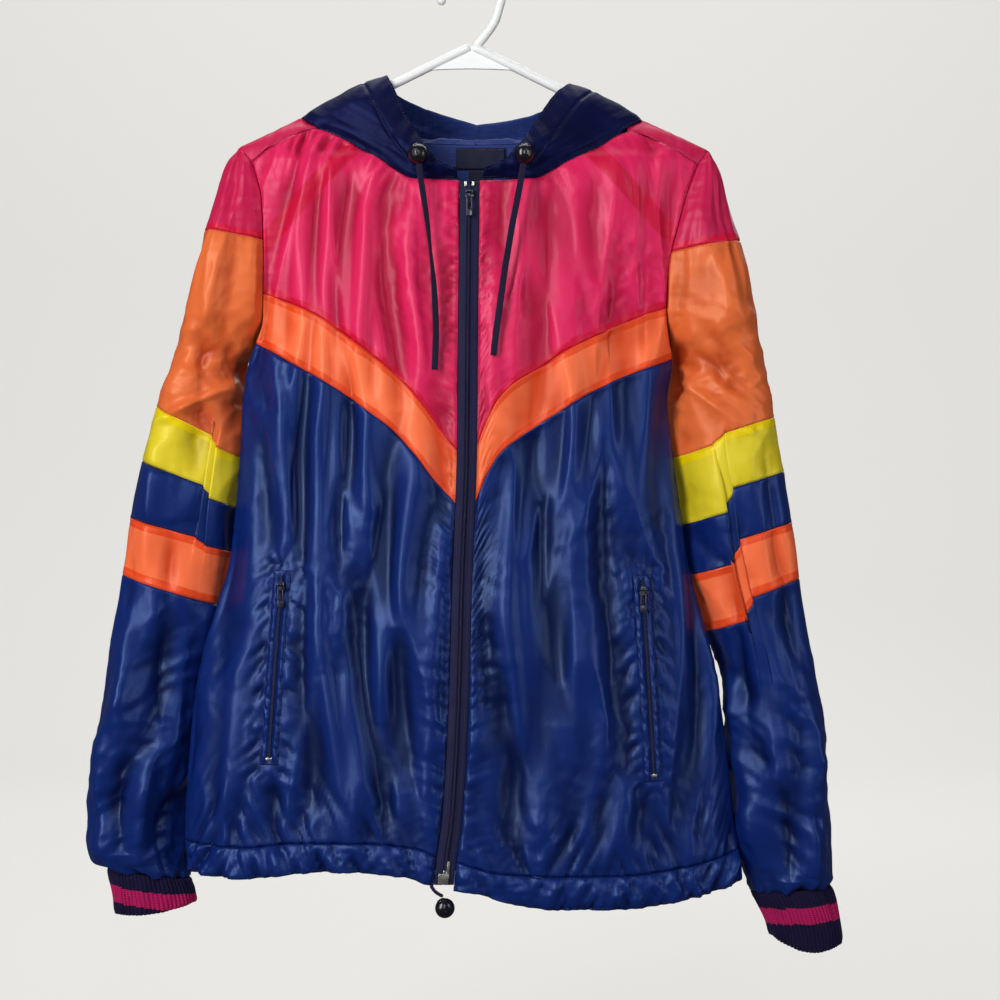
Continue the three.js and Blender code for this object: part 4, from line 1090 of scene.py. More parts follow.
@dataclass
class Fronts(Shell):
    """The two fronts: hem, lower panel, chevron band and yoke, with the puckers that the zips draw in."""

    columns: int = 92
    rows: dict[str, int] = field(default_factory=lambda: {"hem": 14, "lower": 150, "band": 22, "yoke": 92})

    def small_folds(self, side: Side, points: np.ndarray, a: np.ndarray) -> np.ndarray:
        """The relief of a front's small folds: hanging crumples, hem and neck gathers and zip puckers.

        Args:
            side: which front.
            points: its grid.
            a: the places of the points over it, 0 at the zip and 1 at the side edge.

        Returns:
            The relief at each point.
        """
        x, z = points[..., 0], points[..., 2]
        above, below = z - SEAMS[side]["hem_top"](a), SEAMS[side]["top"](a) - z
        relief = Body.drape(x, z) * (0.25 + 0.75 * smooth(above / 30))
        relief = relief * (0.55 + 0.45 * smooth(below / 60))
        # The elastic hem draws the cloth in above it, and its tunnel is plump
        gathered = Body.hem_gathers(x, above)
        plump = np.where(above < 0, 3.2 * np.sqrt(np.clip(1 - (above / 13 + 1) ** 2, 0, 1)), 0.0)
        relief += (gathered + plump) * smooth((1 - a) / 0.03) * smooth(a / 0.02)
        # Easing at the neck seam makes short pleats that run down from it and spread
        lean = 0.55 * smooth((a - 0.2) / 0.2) * 45 * (1 - np.exp(-below / 45))
        spread = x - side.value * lean
        neck = Body.gathers.at(spread / 5.2 + 3, below / 90)
        neck += 0.6 * Body.gathers.creases(spread / 11 + 8, below / 90)
        relief += 3.0 * neck * np.exp(-below / 30) * smooth(below / 4) * smooth((0.95 - a) / 0.25)
        # The zip is sewn in shorter than the cloth, which puckers in slanting ripples beside it
        away = np.abs(x - ZIP_X(z)) - TAPE_HALF
        ripple = Body.fine.creases((z + 0.75 * away) / 9.5, away / 34 + 5)
        ripple += 0.8 * Body.fine.at((z - 0.4 * away) / 7, away / 22)
        reach = 11 + 5 * Body.gathers.at(z / 60, 2.5)
        relief = relief * (1 - 0.6 * np.exp(-away / 9)) + 2.5 * ripple * np.exp(-away / reach) * smooth(away / 2.5)
        relief = relief * smooth(away / 3) + Body.zip_wave(z) * np.exp(-np.maximum(away, 0) / 22)
        # So does each pocket's zip, with sharp pleats at its two ends
        beside, beyond = pocket_distance(side, x, z)
        out = np.hypot(np.maximum(0, beside - POCKET_HALF), beyond)
        ripple = Body.fine.creases((z + 0.9 * beside) / 10 + 50, beside / 30) + 0.9 * Body.rumple(x, z)
        near = np.exp(-((out / 12) ** 1.5))
        relief = relief * (1 - 0.8 * near) + 1.9 * ripple * near * smooth(out / 3)
        (x0, z0), (x1, z1) = POCKETS[side]
        for end_x, end_z, up in ((x0, z0, 1), (x1, z1, -1)):
            run = np.hypot(x - end_x, z - end_z)
            turn = np.arctan2(x - end_x, up * (z - end_z))
            pleats = np.cos(9 * turn + 1.5 * Body.fine.at(run / 20, 0.5 + up))
            relief += 1.3 * pleats * np.exp(-run / 13) * smooth((run - 5) / 5) * smooth(beyond / 3)
        return relief * smooth((1 - a) / 0.02)

    def panel(self, side: Side, low: str, high: str, rows: int) -> np.ndarray:
        """A front panel's grid between two seams, with its small folds.

        Args:
            side: which front.
            low: the seam at its foot.
            high: the seam at its top.
            rows: how many rows of faces it has.

        Returns:
            The grid.
        """
        u, v = grid(self.columns, rows)
        a = mix(u, np.sin(u * np.pi / 2) ** 0.9, 0.6)
        z = mix(SEAMS[side][low](a), SEAMS[side][high](a), v)
        points = Body.front(side, a, z)
        return self.sew(points, side.value, "rft" if low != "hem" else "rt", self.small_folds(side, points, a))

    def build(self) -> None:
        """Makes both fronts and notes their seam lines."""
        parts = [
            ("hem", "hem", "hem_top", [NAVY_NYLON], "navy", "", {"foot": 2.0, "top": 1.6}),
            ("lower", "hem_top", "band_low", [NAVY_NYLON], "navy", "", {}),
            ("band", "band_low", "band_high", ORANGE_LOOKS, "orange", "ft", {"foot": 1.6, "top": 1.6}),
            ("yoke", "band_high", "top", [YOKE_NYLON, PINK_NYLON, PINK_DOUBLE], "pink", "f", {"top": 1.6}),
        ]
        for side in Side:
            for part, low, high, looks, colour, doubled, insets in parts:
                points = self.panel(side, low, high, self.rows[part])
                node, slot = f"front_{part}_{side.word}", f"shell_{colour}"
                self.make(node, points, side.value, looks, slot, doubled=doubled)
                self.stitch(colour, points, side.value, {**insets, "left": 1.8})


@dataclass
class Back(Shell):
    """The back, finished plainly: hem, lower panel, band and yoke, with the lining that shows at the neck."""

    columns: int = 130

    def panel(self, low: str, high: str, rows: int) -> np.ndarray:
        """A back panel's grid between two seams, with its small folds.

        Args:
            low: the seam at its foot.
            high: the seam at its top.
            rows: how many rows of faces it has.

        Returns:
            The grid.
        """
        u, v = grid(self.columns, rows)
        turn = np.sin((u - 0.5) * np.pi)
        a = mix(2 * u - 1, np.sign(turn) * np.abs(turn) ** 0.9, 0.6)
        z = mix(BACK_SEAMS[low](a), BACK_SEAMS[high](a), v)
        points = Body.back(a, z)
        above = z - BACK_SEAMS["hem_top"](a)
        relief = Body.drape(points[..., 0] + 400, z) * (0.25 + 0.75 * smooth(above / 30))
        relief += Body.hem_gathers(points[..., 0] + 300, above)
        relief += np.where(above < 0, 2.6 * np.sqrt(np.clip(1 - (above / 14 + 1) ** 2, 0, 1)), 0.0)
        relief += 0.5 * Body.rumple(points[..., 0] + 200, z) * np.exp(-np.maximum(above, 0) / 60)
        # Under the hood the cloth lies flat
        under_hood = smooth((150 - np.abs(points[..., 0])) / 60) * smooth((z + 350) / 60)
        relief = relief * (1 - 0.85 * under_hood) * smooth((1 - np.abs(a)) / 0.02)
        return self.sew(points, -1, "lrft" if low != "hem" else "lrt", relief)

    def build(self) -> None:
        """Makes the back's panels and the lining."""
        parts = [
            ("hem", "hem", "hem_top", 12, [NAVY_NYLON], "navy", ""),
            ("lower", "hem_top", "band_low", 130, [NAVY_NYLON], "navy", ""),
            ("band", "band_low", "band_high", 16, ORANGE_LOOKS, "orange", "ft"),
            ("yoke", "band_high", "top", 60, [PINK_NYLON, LINING_MESH], "pink", ""),
        ]
        for part, low, high, rows, looks, colour, doubled in parts:
            points = self.panel(low, high, rows)
            self.make(f"back_{part}", points, -1, looks, f"shell_{colour}", doubled=doubled)
            if part != "lower":
                self.stitch(colour, points, -1, {"foot": 1.6, "top": 1.6})
        self.lining()

    def lining(self) -> None:
        """Makes the mesh lining inside the neck, a little in front of the back yoke."""
        u, v = grid(90, 60)
        a = mix(-0.64, 0.64, u)
        z = mix(-232, BACK_SEAMS["top"](a) + 1.5, v)
        points = Body.back(a, z)
        points[..., 1] -= 1.9 + 0.5 * Body.gathers.at(points[..., 0] / 30, z / 30)
        obj = cloth_object("back_lining_cloth", points, -1, 0.6)
        dress(obj, [LINING_MESH], ["back_lining"])
        declare_sheet(obj, points)


SHOULDER_START = 0.66


@dataclass
class Shoulders(Shell):
    """The saddle panels over the shoulders, with the outer end of each one's ridge."""

    ends: dict[Side, tuple[float, float, float]] = field(
        default_factory=lambda: {Side.LEFT: (-197.5, 0, -153.6), Side.RIGHT: (201.5, 0, -155.6)}
    )

    def across(self, side: Side, u: np.ndarray, v: np.ndarray) -> np.ndarray:
        """Points over a shoulder.

        Args:
            side: which shoulder.
            u: places from the neck, 0, to the armhole, 1.
            v: places from the front's seam, 0, to the back's, 1.

        Returns:
            The points, in millimetres.
        """
        a = mix(SHOULDER_START, 1, u)
        front = Body.front(side, a, SEAMS[side]["top"](a) + 0.3)
        back = Body.back(side.value * a, BACK_SEAMS["top"](side.value * a) + 0.3)
        neck = Hood.point(side, np.array(0.5), np.array(0.0)) + np.array([side.value * 0.8, 0, -0.1])
        ridge = mix(neck, np.array(self.ends[side]), u[..., None])
        v = v[..., None]
        return front * (1 - 2 * v) * (1 - v) + ridge * 4 * v * (1 - v) + back * v * (2 * v - 1)

    def build(self) -> None:
        """Makes both shoulder panels."""
        for side in Side:
            u, v = grid(30, 28)
            seam = Hood.seam(side, v[0]) + np.array([side.value * 0.8, 0, -0.1])
            drawn = (1 - u) ** 4 * (1 - (2 * v - 1) ** 4)
            points = self.across(side, u, v)
            shift = seam[None] - self.across(side, np.zeros_like(v[:1]), v[:1])
            points = points + shift * drawn[..., None]
            relief = 0.9 * Body.noise.at(points[..., 0] / 60, points[..., 1] / 9 + 3)
            points = self.sew(points, side.value, "ft", relief)
            # Its ends run on a little under the hood and into the sleeve's head
            for end, beside, out, down in ((0, 1, 2.6 + 2.4 * smooth(v[0] * 2 - 1), 0.6), (-1, -2, 1.5, 0.9)):
                way = unit(points[end] - points[beside])
                points[end] += way * np.reshape(out, (-1, 1)) - np.array([0, 0, down])
            self.make(f"shoulder_{side.word}", points, side.value, [PINK_NYLON], "shell_pink")
            self.stitch("pink", points, side.value, {"foot": 1.6, "top": 1.6})


# Sleeves, cuffs and hood


class Level(NamedTuple):
    """One level of a sleeve, seen from the front."""

    out_x: float
    out_z: float
    in_z: float
    clear: float
    open: float
    front: float
    back: float


LEVELS = {
    Side.LEFT: [
        Level(-199, -155.5, -157, 0.4, 1, 1, 1),
        Level(-207, -166, -169, 0.4, 1, 5, 4),
        Level(-217, -193, -198, 0.4, 1, 10, 8),
        Level(-228, -225, -234, 0.4, 1, 17, 14),
        Level(-239, -273, -286, 0.4, 1, 25, 19),
        Level(-251, -323, -338, 2, 0.15, 31, 22),
        Level(-261, -353, -382, -1, 0, 34, 23),
        Level(-268, -374, -418, -1, 0, 34, 24),
        Level(-280, -420, -460, -1, 0, 34, 24),
        Level(-291, -468, -498, -1, 0, 33, 24),
        Level(-297, -517, -543, -1, 0, 33, 24),
        Level(-308, -580, -595, -1, 0, 32, 24),
        Level(-318, -647, -659, -1, 0, 32, 24),
        Level(-326, -706, -718, -1, 0, 32, 24),
        Level(-328, -739, -750, -1, 0, 30, 24),
        Level(-322, -760, -770, -1, 0, 26, 22),
        Level(-309, -765, -777, 1, 0, 20, 18),
    ],
    Side.RIGHT: [
        Level(203, -157.5, -159, 0.4, 1, 1, 1),
        Level(212, -176, -173, 0.4, 1, 5, 4),
        Level(220, -206, -204, 0.4, 1, 10, 8),
        Level(228, -234, -244, 0.4, 1, 17, 14),
        Level(239, -284, -292, 0.4, 1, 25, 19),
        Level(248, -330, -338, 2, 0.15, 31, 22),
        Level(253, -357, -378, 0, 0, 34, 23),
        Level(258, -383, -418, -1, 0, 34, 24),
        Level(267, -429, -475, -1, 0, 34, 24),
        Level(273, -472, -518, -1, 0, 33, 24),
        Level(279, -520, -566, 1, 0, 33, 24),
        Level(289, -584, -617, 6, 0, 32, 24),
        Level(298, -643, -672, 1, 0, 32, 24),
        Level(305, -706, -727, 1, 0, 32, 24),
        Level(309, -752, -764, 1, 0, 30, 24),
        Level(309, -774, -781, 6, 0, 26, 22),
        Level(305, -781, -789, 9, 0, 20, 18),
    ],
}
LEVEL_TRACKS = {
    side: {name: Track([(i, getattr(level, name)) for i, level in enumerate(levels)]) for name in Level._fields}
    for side, levels in LEVELS.items()
}


@dataclass(frozen=True)
class Tuck:
    """A lengthwise tuck down a sleeve's front, where the cloth is caught under itself and the bands step."""

    at: float
    step: float
    lift: float
    top: float
    foot: float
    width: float = 0.1


TUCKS = {Side.LEFT: Tuck(0.3, 9, 3, 6, 8), Side.RIGHT: Tuck(0.4, 19, 5, 6.5, 9.6)}
SLEEVE_FOLDS = {
    Side.LEFT: [Fold(*row) for row in (
        (-192, -350, -268, -392, 9, 5), (-204, -372, -238, -470, 8, 5.5), (-226, -300, -228, -440, 9, -4),
        (-262, -400, -276, -520, 8, 4.5), (-250, -470, -262, -640, 10, -5), (-284, -520, -300, -700, 10, 5),
        (-238, -560, -262, -720, 9, 4.5), (-296, -640, -296, -752, 11, -5), (-270, -660, -282, -762, 10, 5),
        (-316, -650, -312, -758, 8, 4),
    )],
    Side.RIGHT: [Fold(*row) for row in (
        (176, -352, 236, -400, 8, 4.5), (206, -366, 218, -480, 8, 5), (246, -400, 262, -520, 8, -4),
        (214, -500, 238, -660, 9, -5), (236, -520, 260, -700, 9, 5), (276, -560, 296, -720, 9, 4.5),
        (226, -640, 246, -770, 9, 4.5), (262, -680, 270, -776, 11, -5), (286, -680, 290, -772, 8, 4.5),
    )],
}


@dataclass
class Sleeves(Shell):
    """The two sleeves: a cap, an upper panel, three chevron bands and a lower panel that blouses over the cuff."""

    behind: float = 14.0

    def columns(self, side: Side) -> np.ndarray:
        """Places around the sleeve, close together in the tuck."""
        tuck = TUCKS[side]
        front = np.concatenate([
            np.linspace(0, tuck.at, 26, endpoint=False),
            np.linspace(tuck.at, tuck.at + tuck.width, 14, endpoint=False),
            np.linspace(tuck.at + tuck.width, 1, 40, endpoint=False),
        ])
        return np.concatenate([front - 1, np.linspace(0, 1, 55)])

    def point(self, side: Side, row: np.ndarray, around: np.ndarray) -> np.ndarray:
        """Points of a sleeve.

        Args:
            side: which sleeve.
            row: the level, 0 at the shoulder and 16 at the cuff.
            around: -1 at the underarm seam in front, 0 at the outer silhouette, 1 at that seam behind.

        Returns:
            The points, in millimetres.
        """
        level = {name: track(row) for name, track in LEVEL_TRACKS[side].items()}
        tuck = TUCKS[side]
        in_x = EDGE[side](level["in_z"]) + side.value * level["clear"]
        opened = np.clip(level["open"], 0, 1)
        in_front = around < 0
        fades = smooth((row - tuck.top) / 1.2) * smooth((tuck.foot + 2.2 - row) / 2.2)
        tucked = np.where(in_front, fades, 0.0)
        u = 1 - np.abs(around)
        past = np.clip((u - tuck.at) / tuck.width, 0, 1)
        # Past the tuck the cloth turns back under its crest and comes out again
        crest = tuck.at + tuck.width * 0.4
        beyond = np.clip(u - tuck.at - tuck.width, 0, 1) / (1 - tuck.at - tuck.width)
        narrow = np.where(u < tuck.at, u / tuck.at * crest, mix(crest, 1, 0.03 * past + 0.97 * beyond))
        narrow = narrow - 0.022 * np.sin(2 * np.pi * past)
        t = mix(u, narrow, tucked)
        lift = tuck.lift * tucked * smooth(u / tuck.at) * (1 - past)
        step = tuck.step * tucked
        across = mix((1 - np.cos(np.pi * t)) / 2, np.sin(np.pi * t / 2), opened)
        x = mix(in_x, level["out_x"], across)
        z = mix(level["in_z"], level["out_z"] - step, across) + step * past
        rim = np.where(in_front, FRONT_RIM(level["in_z"]), BACK_RIM(level["in_z"]))
        belly = np.where(in_front, level["front"], level["back"])
        depth = belly * np.sin(np.pi * t) + rim * np.cos(np.pi * t / 2) * np.clip(opened * 1.2, 0, 1) + lift
        behind = self.behind * (1 - across) * (1 - opened)
        return np.stack([x, np.where(in_front, -depth, depth) + behind, z], axis=-1)

    def small_folds(self, side: Side, points: np.ndarray, row: np.ndarray, around: np.ndarray) -> np.ndarray:
        """The relief of a sleeve's folds: hanging crumples, and gathers where it blouses over the cuff."""
        x, z = points[..., 0], points[..., 2]
        arc = 66 * around + (800 if side is Side.LEFT else 1300)
        relief = 0.9 * Body.drape(arc, z + 0.25 * x, 0.7)
        # Slanting creases wrap round the arm from the armpit and at the elbow
        wrap = Body.noise.creases((z + side.value * 0.8 * x) / 40 + 11, (arc - 0.5 * z) / 70)
        bent = np.exp(-(((z + 345) / 58) ** 2)) + 0.9 * np.exp(-(((z + 660) / 95) ** 2))
        relief += (4.2 * wrap + 1.3 * Body.rumple(arc, z)) * bent
        # Long upright folds fill out the blousing below the elbow
        long = Body.noise.creases(arc / 27 + 5, z / 210 + 8)
        relief += 2.4 * long * smooth((-z - 440) / 90)
        # And soft ones hang from the seam of the cap
        hung = Body.noise.creases(arc / 24 + 40, z / 170 + 3)
        relief += 2.6 * hung * smooth((-z - 120) / 40) * smooth((z + 330) / 60)
        front = np.where(around < 0, 1.0, 0.0) * np.sin(np.pi * np.clip(-around, 0, 1))
        relief += 1.9 * sum(fold.height(x, z) for fold in SLEEVE_FOLDS[side]) * front
        above = (16 - row) * 26
        gathers = Body.gathers.at(arc / 7.5, above / 60 + 3) + 0.6 * Body.gathers.at(arc / 3.8 + 9, above / 34)
        relief = relief * smooth(0.25 + above / 60) + 4.2 * gathers * np.exp(-above / 34)
        # The head of the sleeve is eased in with small pleats, and lies smooth over the hanger's end
        seam = np.minimum(1 + around, 1 - around) * 66
        eased = 1.6 * Body.gathers.at(z / 6 + 4, seam / 40) * np.exp(-seam / 16) * (1 - smooth((row - 5) / 1))
        # Its outer edge hangs straight
        straight = 0.3 + 0.7 * smooth(np.abs(around) / 0.3)
        relief = relief * straight * (0.35 + 0.65 * smooth((row - 0.5) / 3)) + eased
        # The tuck holds the cloth about it calm
        tuck = TUCKS[side]
        caught = smooth((row - tuck.top + 0.7) / 0.9) * smooth((tuck.foot + 3 - row) / 1.2) * (around < 0)
        caught = caught * np.exp(-(((1 + around - tuck.at - tuck.width / 2) / 0.14) ** 2))
        return relief * smooth((1 - np.abs(around)) / 0.08) * (1 - 0.85 * caught)

    def build(self) -> None:
        """Makes both sleeves."""
        parts = [
            ("cap", 0, 3, 44, [PINK_NYLON, PINK_NYLON, PINK_DOUBLE], "shell_pink", "pink", "f"),
            ("upper", 3, 7, 84, [SLEEVE_NYLON], "shell_orange", "orange", ""),
            ("yellow_band", 7, 8, 22, [YELLOW_NYLON, YELLOW_NYLON, YELLOW_DOUBLE], "shell_yellow", "yellow", "t"),
            ("navy_band", 8, 9, 22, [NAVY_NYLON], "shell_navy", "navy", ""),
            ("orange_band", 9, 10, 22, [ORANGE_NYLON, ORANGE_NYLON, ORANGE_DOUBLE], "shell_orange", "orange", "ft"),
            ("lower", 10, 16, 130, [NAVY_NYLON], "shell_navy", "navy", ""),
        ]
        for side in Side:
            places = self.columns(side)
            for part, top, foot, rows, looks, slot, thread, doubled in parts:
                row, around = np.linspace(foot, top, rows + 1)[None, :], places[:, None]
                row, around = np.broadcast_arrays(row, around)
                points = self.point(side, row, around)
                relief = self.small_folds(side, points, row, around)
                points = self.sew(points, side.value, "lrft" if part != "lower" else "lrt", relief)
                self.make(f"sleeve_{part}_{side.word}", points, side.value, looks, slot, doubled=doubled)
                for edge in ("foot", "top"):
                    if part not in ("lower",):
                        self.stitches.append((thread, line_on(points, side.value, edge, 1.6)))
                if part == "lower":
                    self.stitches.append((thread, line_on(points, side.value, "top", 1.6)))


@dataclass
class Cuffs:
    """The rib-knit cuffs, navy with one magenta stripe."""

    ribs: int = 58
    columns_to_a_rib: int = 6
    rows: int = 30
    rib_out: float = 0.75
    gap: float = 0.4
    stripe: tuple[float, float] = (15.0, 29.0)
    feet: dict[Side, tuple[float, float, float, float, float]] = field(default_factory=lambda: {
        Side.LEFT: (-304, -805, -237, -798, 3),
        Side.RIGHT: (316, -830, 256, -826, 9),
    })

    def build(self, sleeves: Sleeves) -> None:
        """Makes both cuffs, each hanging on from its own sleeve's end."""
        for side in Side:
            out_x, out_z, in_x, in_z, sag = self.feet[side]
            count = self.ribs * self.columns_to_a_rib
            u, v = grid(count, self.rows)
            around = 2 * u - 1
            top = sleeves.point(side, np.full_like(u, 16.0), around)
            inner, outer = top[0, 0, 0], top[count // 2, 0, 0]
            across = (top[..., 0] - inner) / (outer - inner)
            hang = sag * np.sin(np.pi * across) * np.where(around < 0, 1, -0.3)
            foot_z = mix(in_z, out_z, across) - hang
            x = mix(mix(in_x, out_x, across), top[..., 0], v**1.6)
            z = mix(foot_z, top[..., 2] - self.gap, v)
            points = np.stack([x, top[..., 1] * mix(0.93, 1, v), z], axis=-1)
            rib = np.cos(2 * np.pi * self.ribs * u + 0.5 * np.sin(5 * v + 9 * u))
            rib = self.rib_out * np.sign(rib) * np.abs(rib) ** 0.6
            slack = 1.6 * Body.gathers.at(u * 13, v * 1.2 + 4) + 0.7 * Body.fine.at(u * 31, v * 2.0 + 1)
            turned = -1.1 * np.exp(-((v / 0.07) ** 2)) - 1.2 * np.exp(-(((1 - v) / 0.06) ** 2))
            points += normals(points, side.value) * (rib + slack + turned)[..., None]
            obj = cloth_object(f"cuff_{side.word}_rib", points, side.value, 1.0)
            dress(obj, [NAVY_RIB, MAGENTA_RIB], [f"cuff_{side.word}"])
            below = edge_distances(points)[3]
            middle = (below[:-1, :-1] + below[1:, 1:]) / 2
            striped = ((middle > self.stripe[0]) & (middle < self.stripe[1])).reshape(-1)
            faces = np.zeros(len(obj.data.polygons), int)
            faces[: len(striped)] = striped
            faces[len(striped): 2 * len(striped)] = striped
            obj.data.polygons.foreach_set("material_index", faces.tolist())
            declare_sheet(obj, points)


HOOD_NECK = {
    Side.LEFT: [
        (0, -11, -30, -184.5), (0.12, -49, -30, -182.5), (0.2, -64, -27, -174.5), (0.28, -83, -21, -161.5),
        (0.37, -107, -15, -146.5), (0.45, -131, -11, -137), (0.5, -145, 0, -128), (0.56, -131, 10, -138.5),
        (0.68, -92, 12, -144), (0.84, -44, 13, -147.5), (1, 4, 13.5, -149),
    ],
    Side.RIGHT: [
        (0, 9, -30, -184.5), (0.12, 54, -30, -182.5), (0.2, 72, -27, -173.5), (0.28, 90, -21, -162),
        (0.37, 108, -15, -149.5), (0.45, 129, -11, -139), (0.5, 146, 0, -130), (0.56, 132, 11, -140.5),
        (0.68, 98, 12, -145), (0.84, 50, 13, -147.5), (1, 4, 13.5, -149),
    ],
}
HOOD_RIM = {
    Side.LEFT: [
        (0, -12, -36, -176), (0.12, -26, -36, -171), (0.2, -35, -33, -160), (0.28, -46, -27, -145),
        (0.37, -56, -20, -126), (0.45, -66, -11, -103), (0.5, -72, 0, -91.5), (0.56, -67, 12, -103),
        (0.68, -50, 25, -111), (0.84, -26, 36, -118), (1, 4, 41, -126),
    ],
    Side.RIGHT: [
        (0, 12, -36, -176), (0.12, 28, -36, -169), (0.2, 37, -33, -159), (0.28, 48, -27, -146),
        (0.37, 58, -20, -129), (0.45, 72, -11, -108), (0.5, 84, 0, -98.5), (0.56, 72, 12, -113),
        (0.68, 54, 25, -120), (0.84, 28, 36, -124), (1, 4, 41, -126),
    ],
}
HOOD_FALL_UP = Track([(0, 0), (0.05, 4), (0.13, -6), (0.32, -107), (0.5, -190), (0.68, -120), (0.86, -35), (1, 0)])
HOOD_FALL_BACK = Track([(0, 0), (0.07, 2), (0.15, 8), (0.32, 10), (0.5, 17), (0.68, 30), (0.86, 20), (1, 0)])


def station_line(rows: Sequence[tuple[float, float, float, float]], t: np.ndarray) -> np.ndarray:
    """Points on a line through the hood's stations.

    Args:
        rows: the stations, each its place t and its x, y and z.
        t: places from the zip, 0, over the shoulder, 0.5, to the back's middle, 1.

    Returns:
        The points.
    """
    return np.stack([Track([(row[0], row[k]) for row in rows])(t) for k in (1, 2, 3)], axis=-1)


def front_neck(side: Side, x: np.ndarray) -> np.ndarray:
    """Points on the upper edge of a front's yoke.

    Args:
        side: which front.
        x: the places across it, in millimetres.

    Returns:
        The points.
    """
    z = np.full_like(x, -165.0)
    for _ in range(4):
        zip_edge = ZIP_X(z) + side.value * TAPE_HALF
        a = np.clip((x - zip_edge) / (EDGE[side](z) - zip_edge), 0, 1)
        z = SEAMS[side]["top"](a)
    return Body.front(side, a, z)


@dataclass
class Hood(Shell):
    """The hood, in two halves: it stands as a collar in front and falls behind the back in a pouch."""

    columns: int = 130
    rows: int = 120
    channel: float = 21.0
    halves: dict[Side, np.ndarray] = field(default_factory=dict)

    @staticmethod
    def point(side: Side, t: np.ndarray, v: np.ndarray) -> np.ndarray:
        """Points of one half: t from the zip to the back's middle, v from the neck seam to the rim."""
        t, v = np.broadcast_arrays(np.asarray(t, float), np.asarray(v, float))
        neck = station_line(HOOD_NECK[side], t)
        # In front the neck edge follows the yoke's, just inside it
        edge = front_neck(side, neck[..., 0]) + np.array([0, 1.0, -0.8])
        joined = smooth((t - 0.02) / 0.08) * smooth((0.46 - t) / 0.03)
        neck = mix(neck, edge, joined[..., None])
        points = mix(neck, station_line(HOOD_RIM[side], t), v[..., None])
        behind = smooth((t - 0.5) / 0.5) ** 0.7
        over = np.sin(np.pi * v)
        points[..., 2] += behind * HOOD_FALL_UP(v)
        points[..., 1] += np.sqrt(behind) * HOOD_FALL_BACK(v)
        roll = np.where(t < 0.5, np.sin(np.pi * np.clip(t / 0.5, 0, 1)), 0)
        turn = np.where(t > 0.5, np.sin(np.pi * np.clip((t - 0.5) / 0.5, 0, 1)), 0)
        points[..., 1] += over * (11 * turn - 7 * roll)
        points[..., 2] += over * (3 * roll + 4 * (1 - np.minimum(1, np.abs(t - 0.5) * 8)))
        return points

    @classmethod
    def seam(cls, side: Side, v: np.ndarray) -> np.ndarray:
        """The hood's neck seam on either side of the shoulder's ridge, v being 0 in front and 1 behind."""
        ridge, step = cls.point(side, np.array(0.5), np.array(0.0)), 1 / 18
        front = cls.point(side, np.array(0.5 - step), np.array(0.0))
        back = cls.point(side, np.array(0.5 + step), np.array(0.0))
        v = v[..., None]
        return np.where(v < 0.5, mix(front, ridge, 2 * v), mix(ridge, back, 2 * v - 1))

    def build(self) -> None:
        """Makes both halves."""
        for side in Side:
            t, v = grid(self.columns, self.rows)
            points = self.point(side, t, v)
            across, _, below, beyond = edge_distances(points)
            # Long folds run along the neck seam in front and break where the cloth turns down behind
            front = 1 - smooth((t - 0.42) / 0.1)
            long = Body.noise.at(below / 30 + 0.25 * np.sin(across / 60) + 5, across / 110 + 3)
            seamed = Body.gathers.at(below / 6.5 + 0.3 * np.sin(across / 40), across / 70 + 8) * np.exp(-below / 20)
            fan = Body.noise.at(across / 16 + 5, below / 150 + 3) + 0.4 * Body.gathers.at(across / 7, below / 90)
            cross = Body.fine.creases((across + 0.8 * below) / 34 + 9, (below - 0.5 * across) / 70)
            relief = (2.6 * long + 2.4 * seamed) * front + (2.2 * fan + 0.8 * cross) * (1 - front)
            relief = relief * smooth(below / 5)
            # The rim's channel is drawn up on its cord
            gathers = Body.gathers.at(across / 9, beyond / 50 + 3) + 0.5 * Body.gathers.at(across / 4.5, beyond / 40)
            relief = relief * (0.3 + 0.7 * smooth((beyond - 4) / 30)) + 1.1 * gathers * np.exp(-beyond / 26)
            # Topstitching holds the channel down
            relief -= 1.0 * np.exp(-(((beyond - self.channel) / 1.8) ** 2))
            shared = smooth(t / 0.05) * smooth((1 - t) / 0.03)
            points = self.sew(points, side.value, "lf", relief * shared)
            seam = 0.9 * np.exp(-((edge_distances(points)[1] / 1.5) ** 2))
            points = points - normals(points, side.value) * seam[..., None]
            self.halves[side] = points
            looks = [HOOD_NYLON, LINING_MESH]
            self.make(f"hood_{side.word}", points, side.value, looks, "shell_hood", "gathered")
            self.stitches.append(("navy", line_on(points, side.value, "top", self.channel)))
            self.stitches.append(("navy", line_on(points, side.value, "top", 2.0)))
            self.stitches.append(("navy", line_on(points, side.value, "foot", 1.8)))


# Hard trim


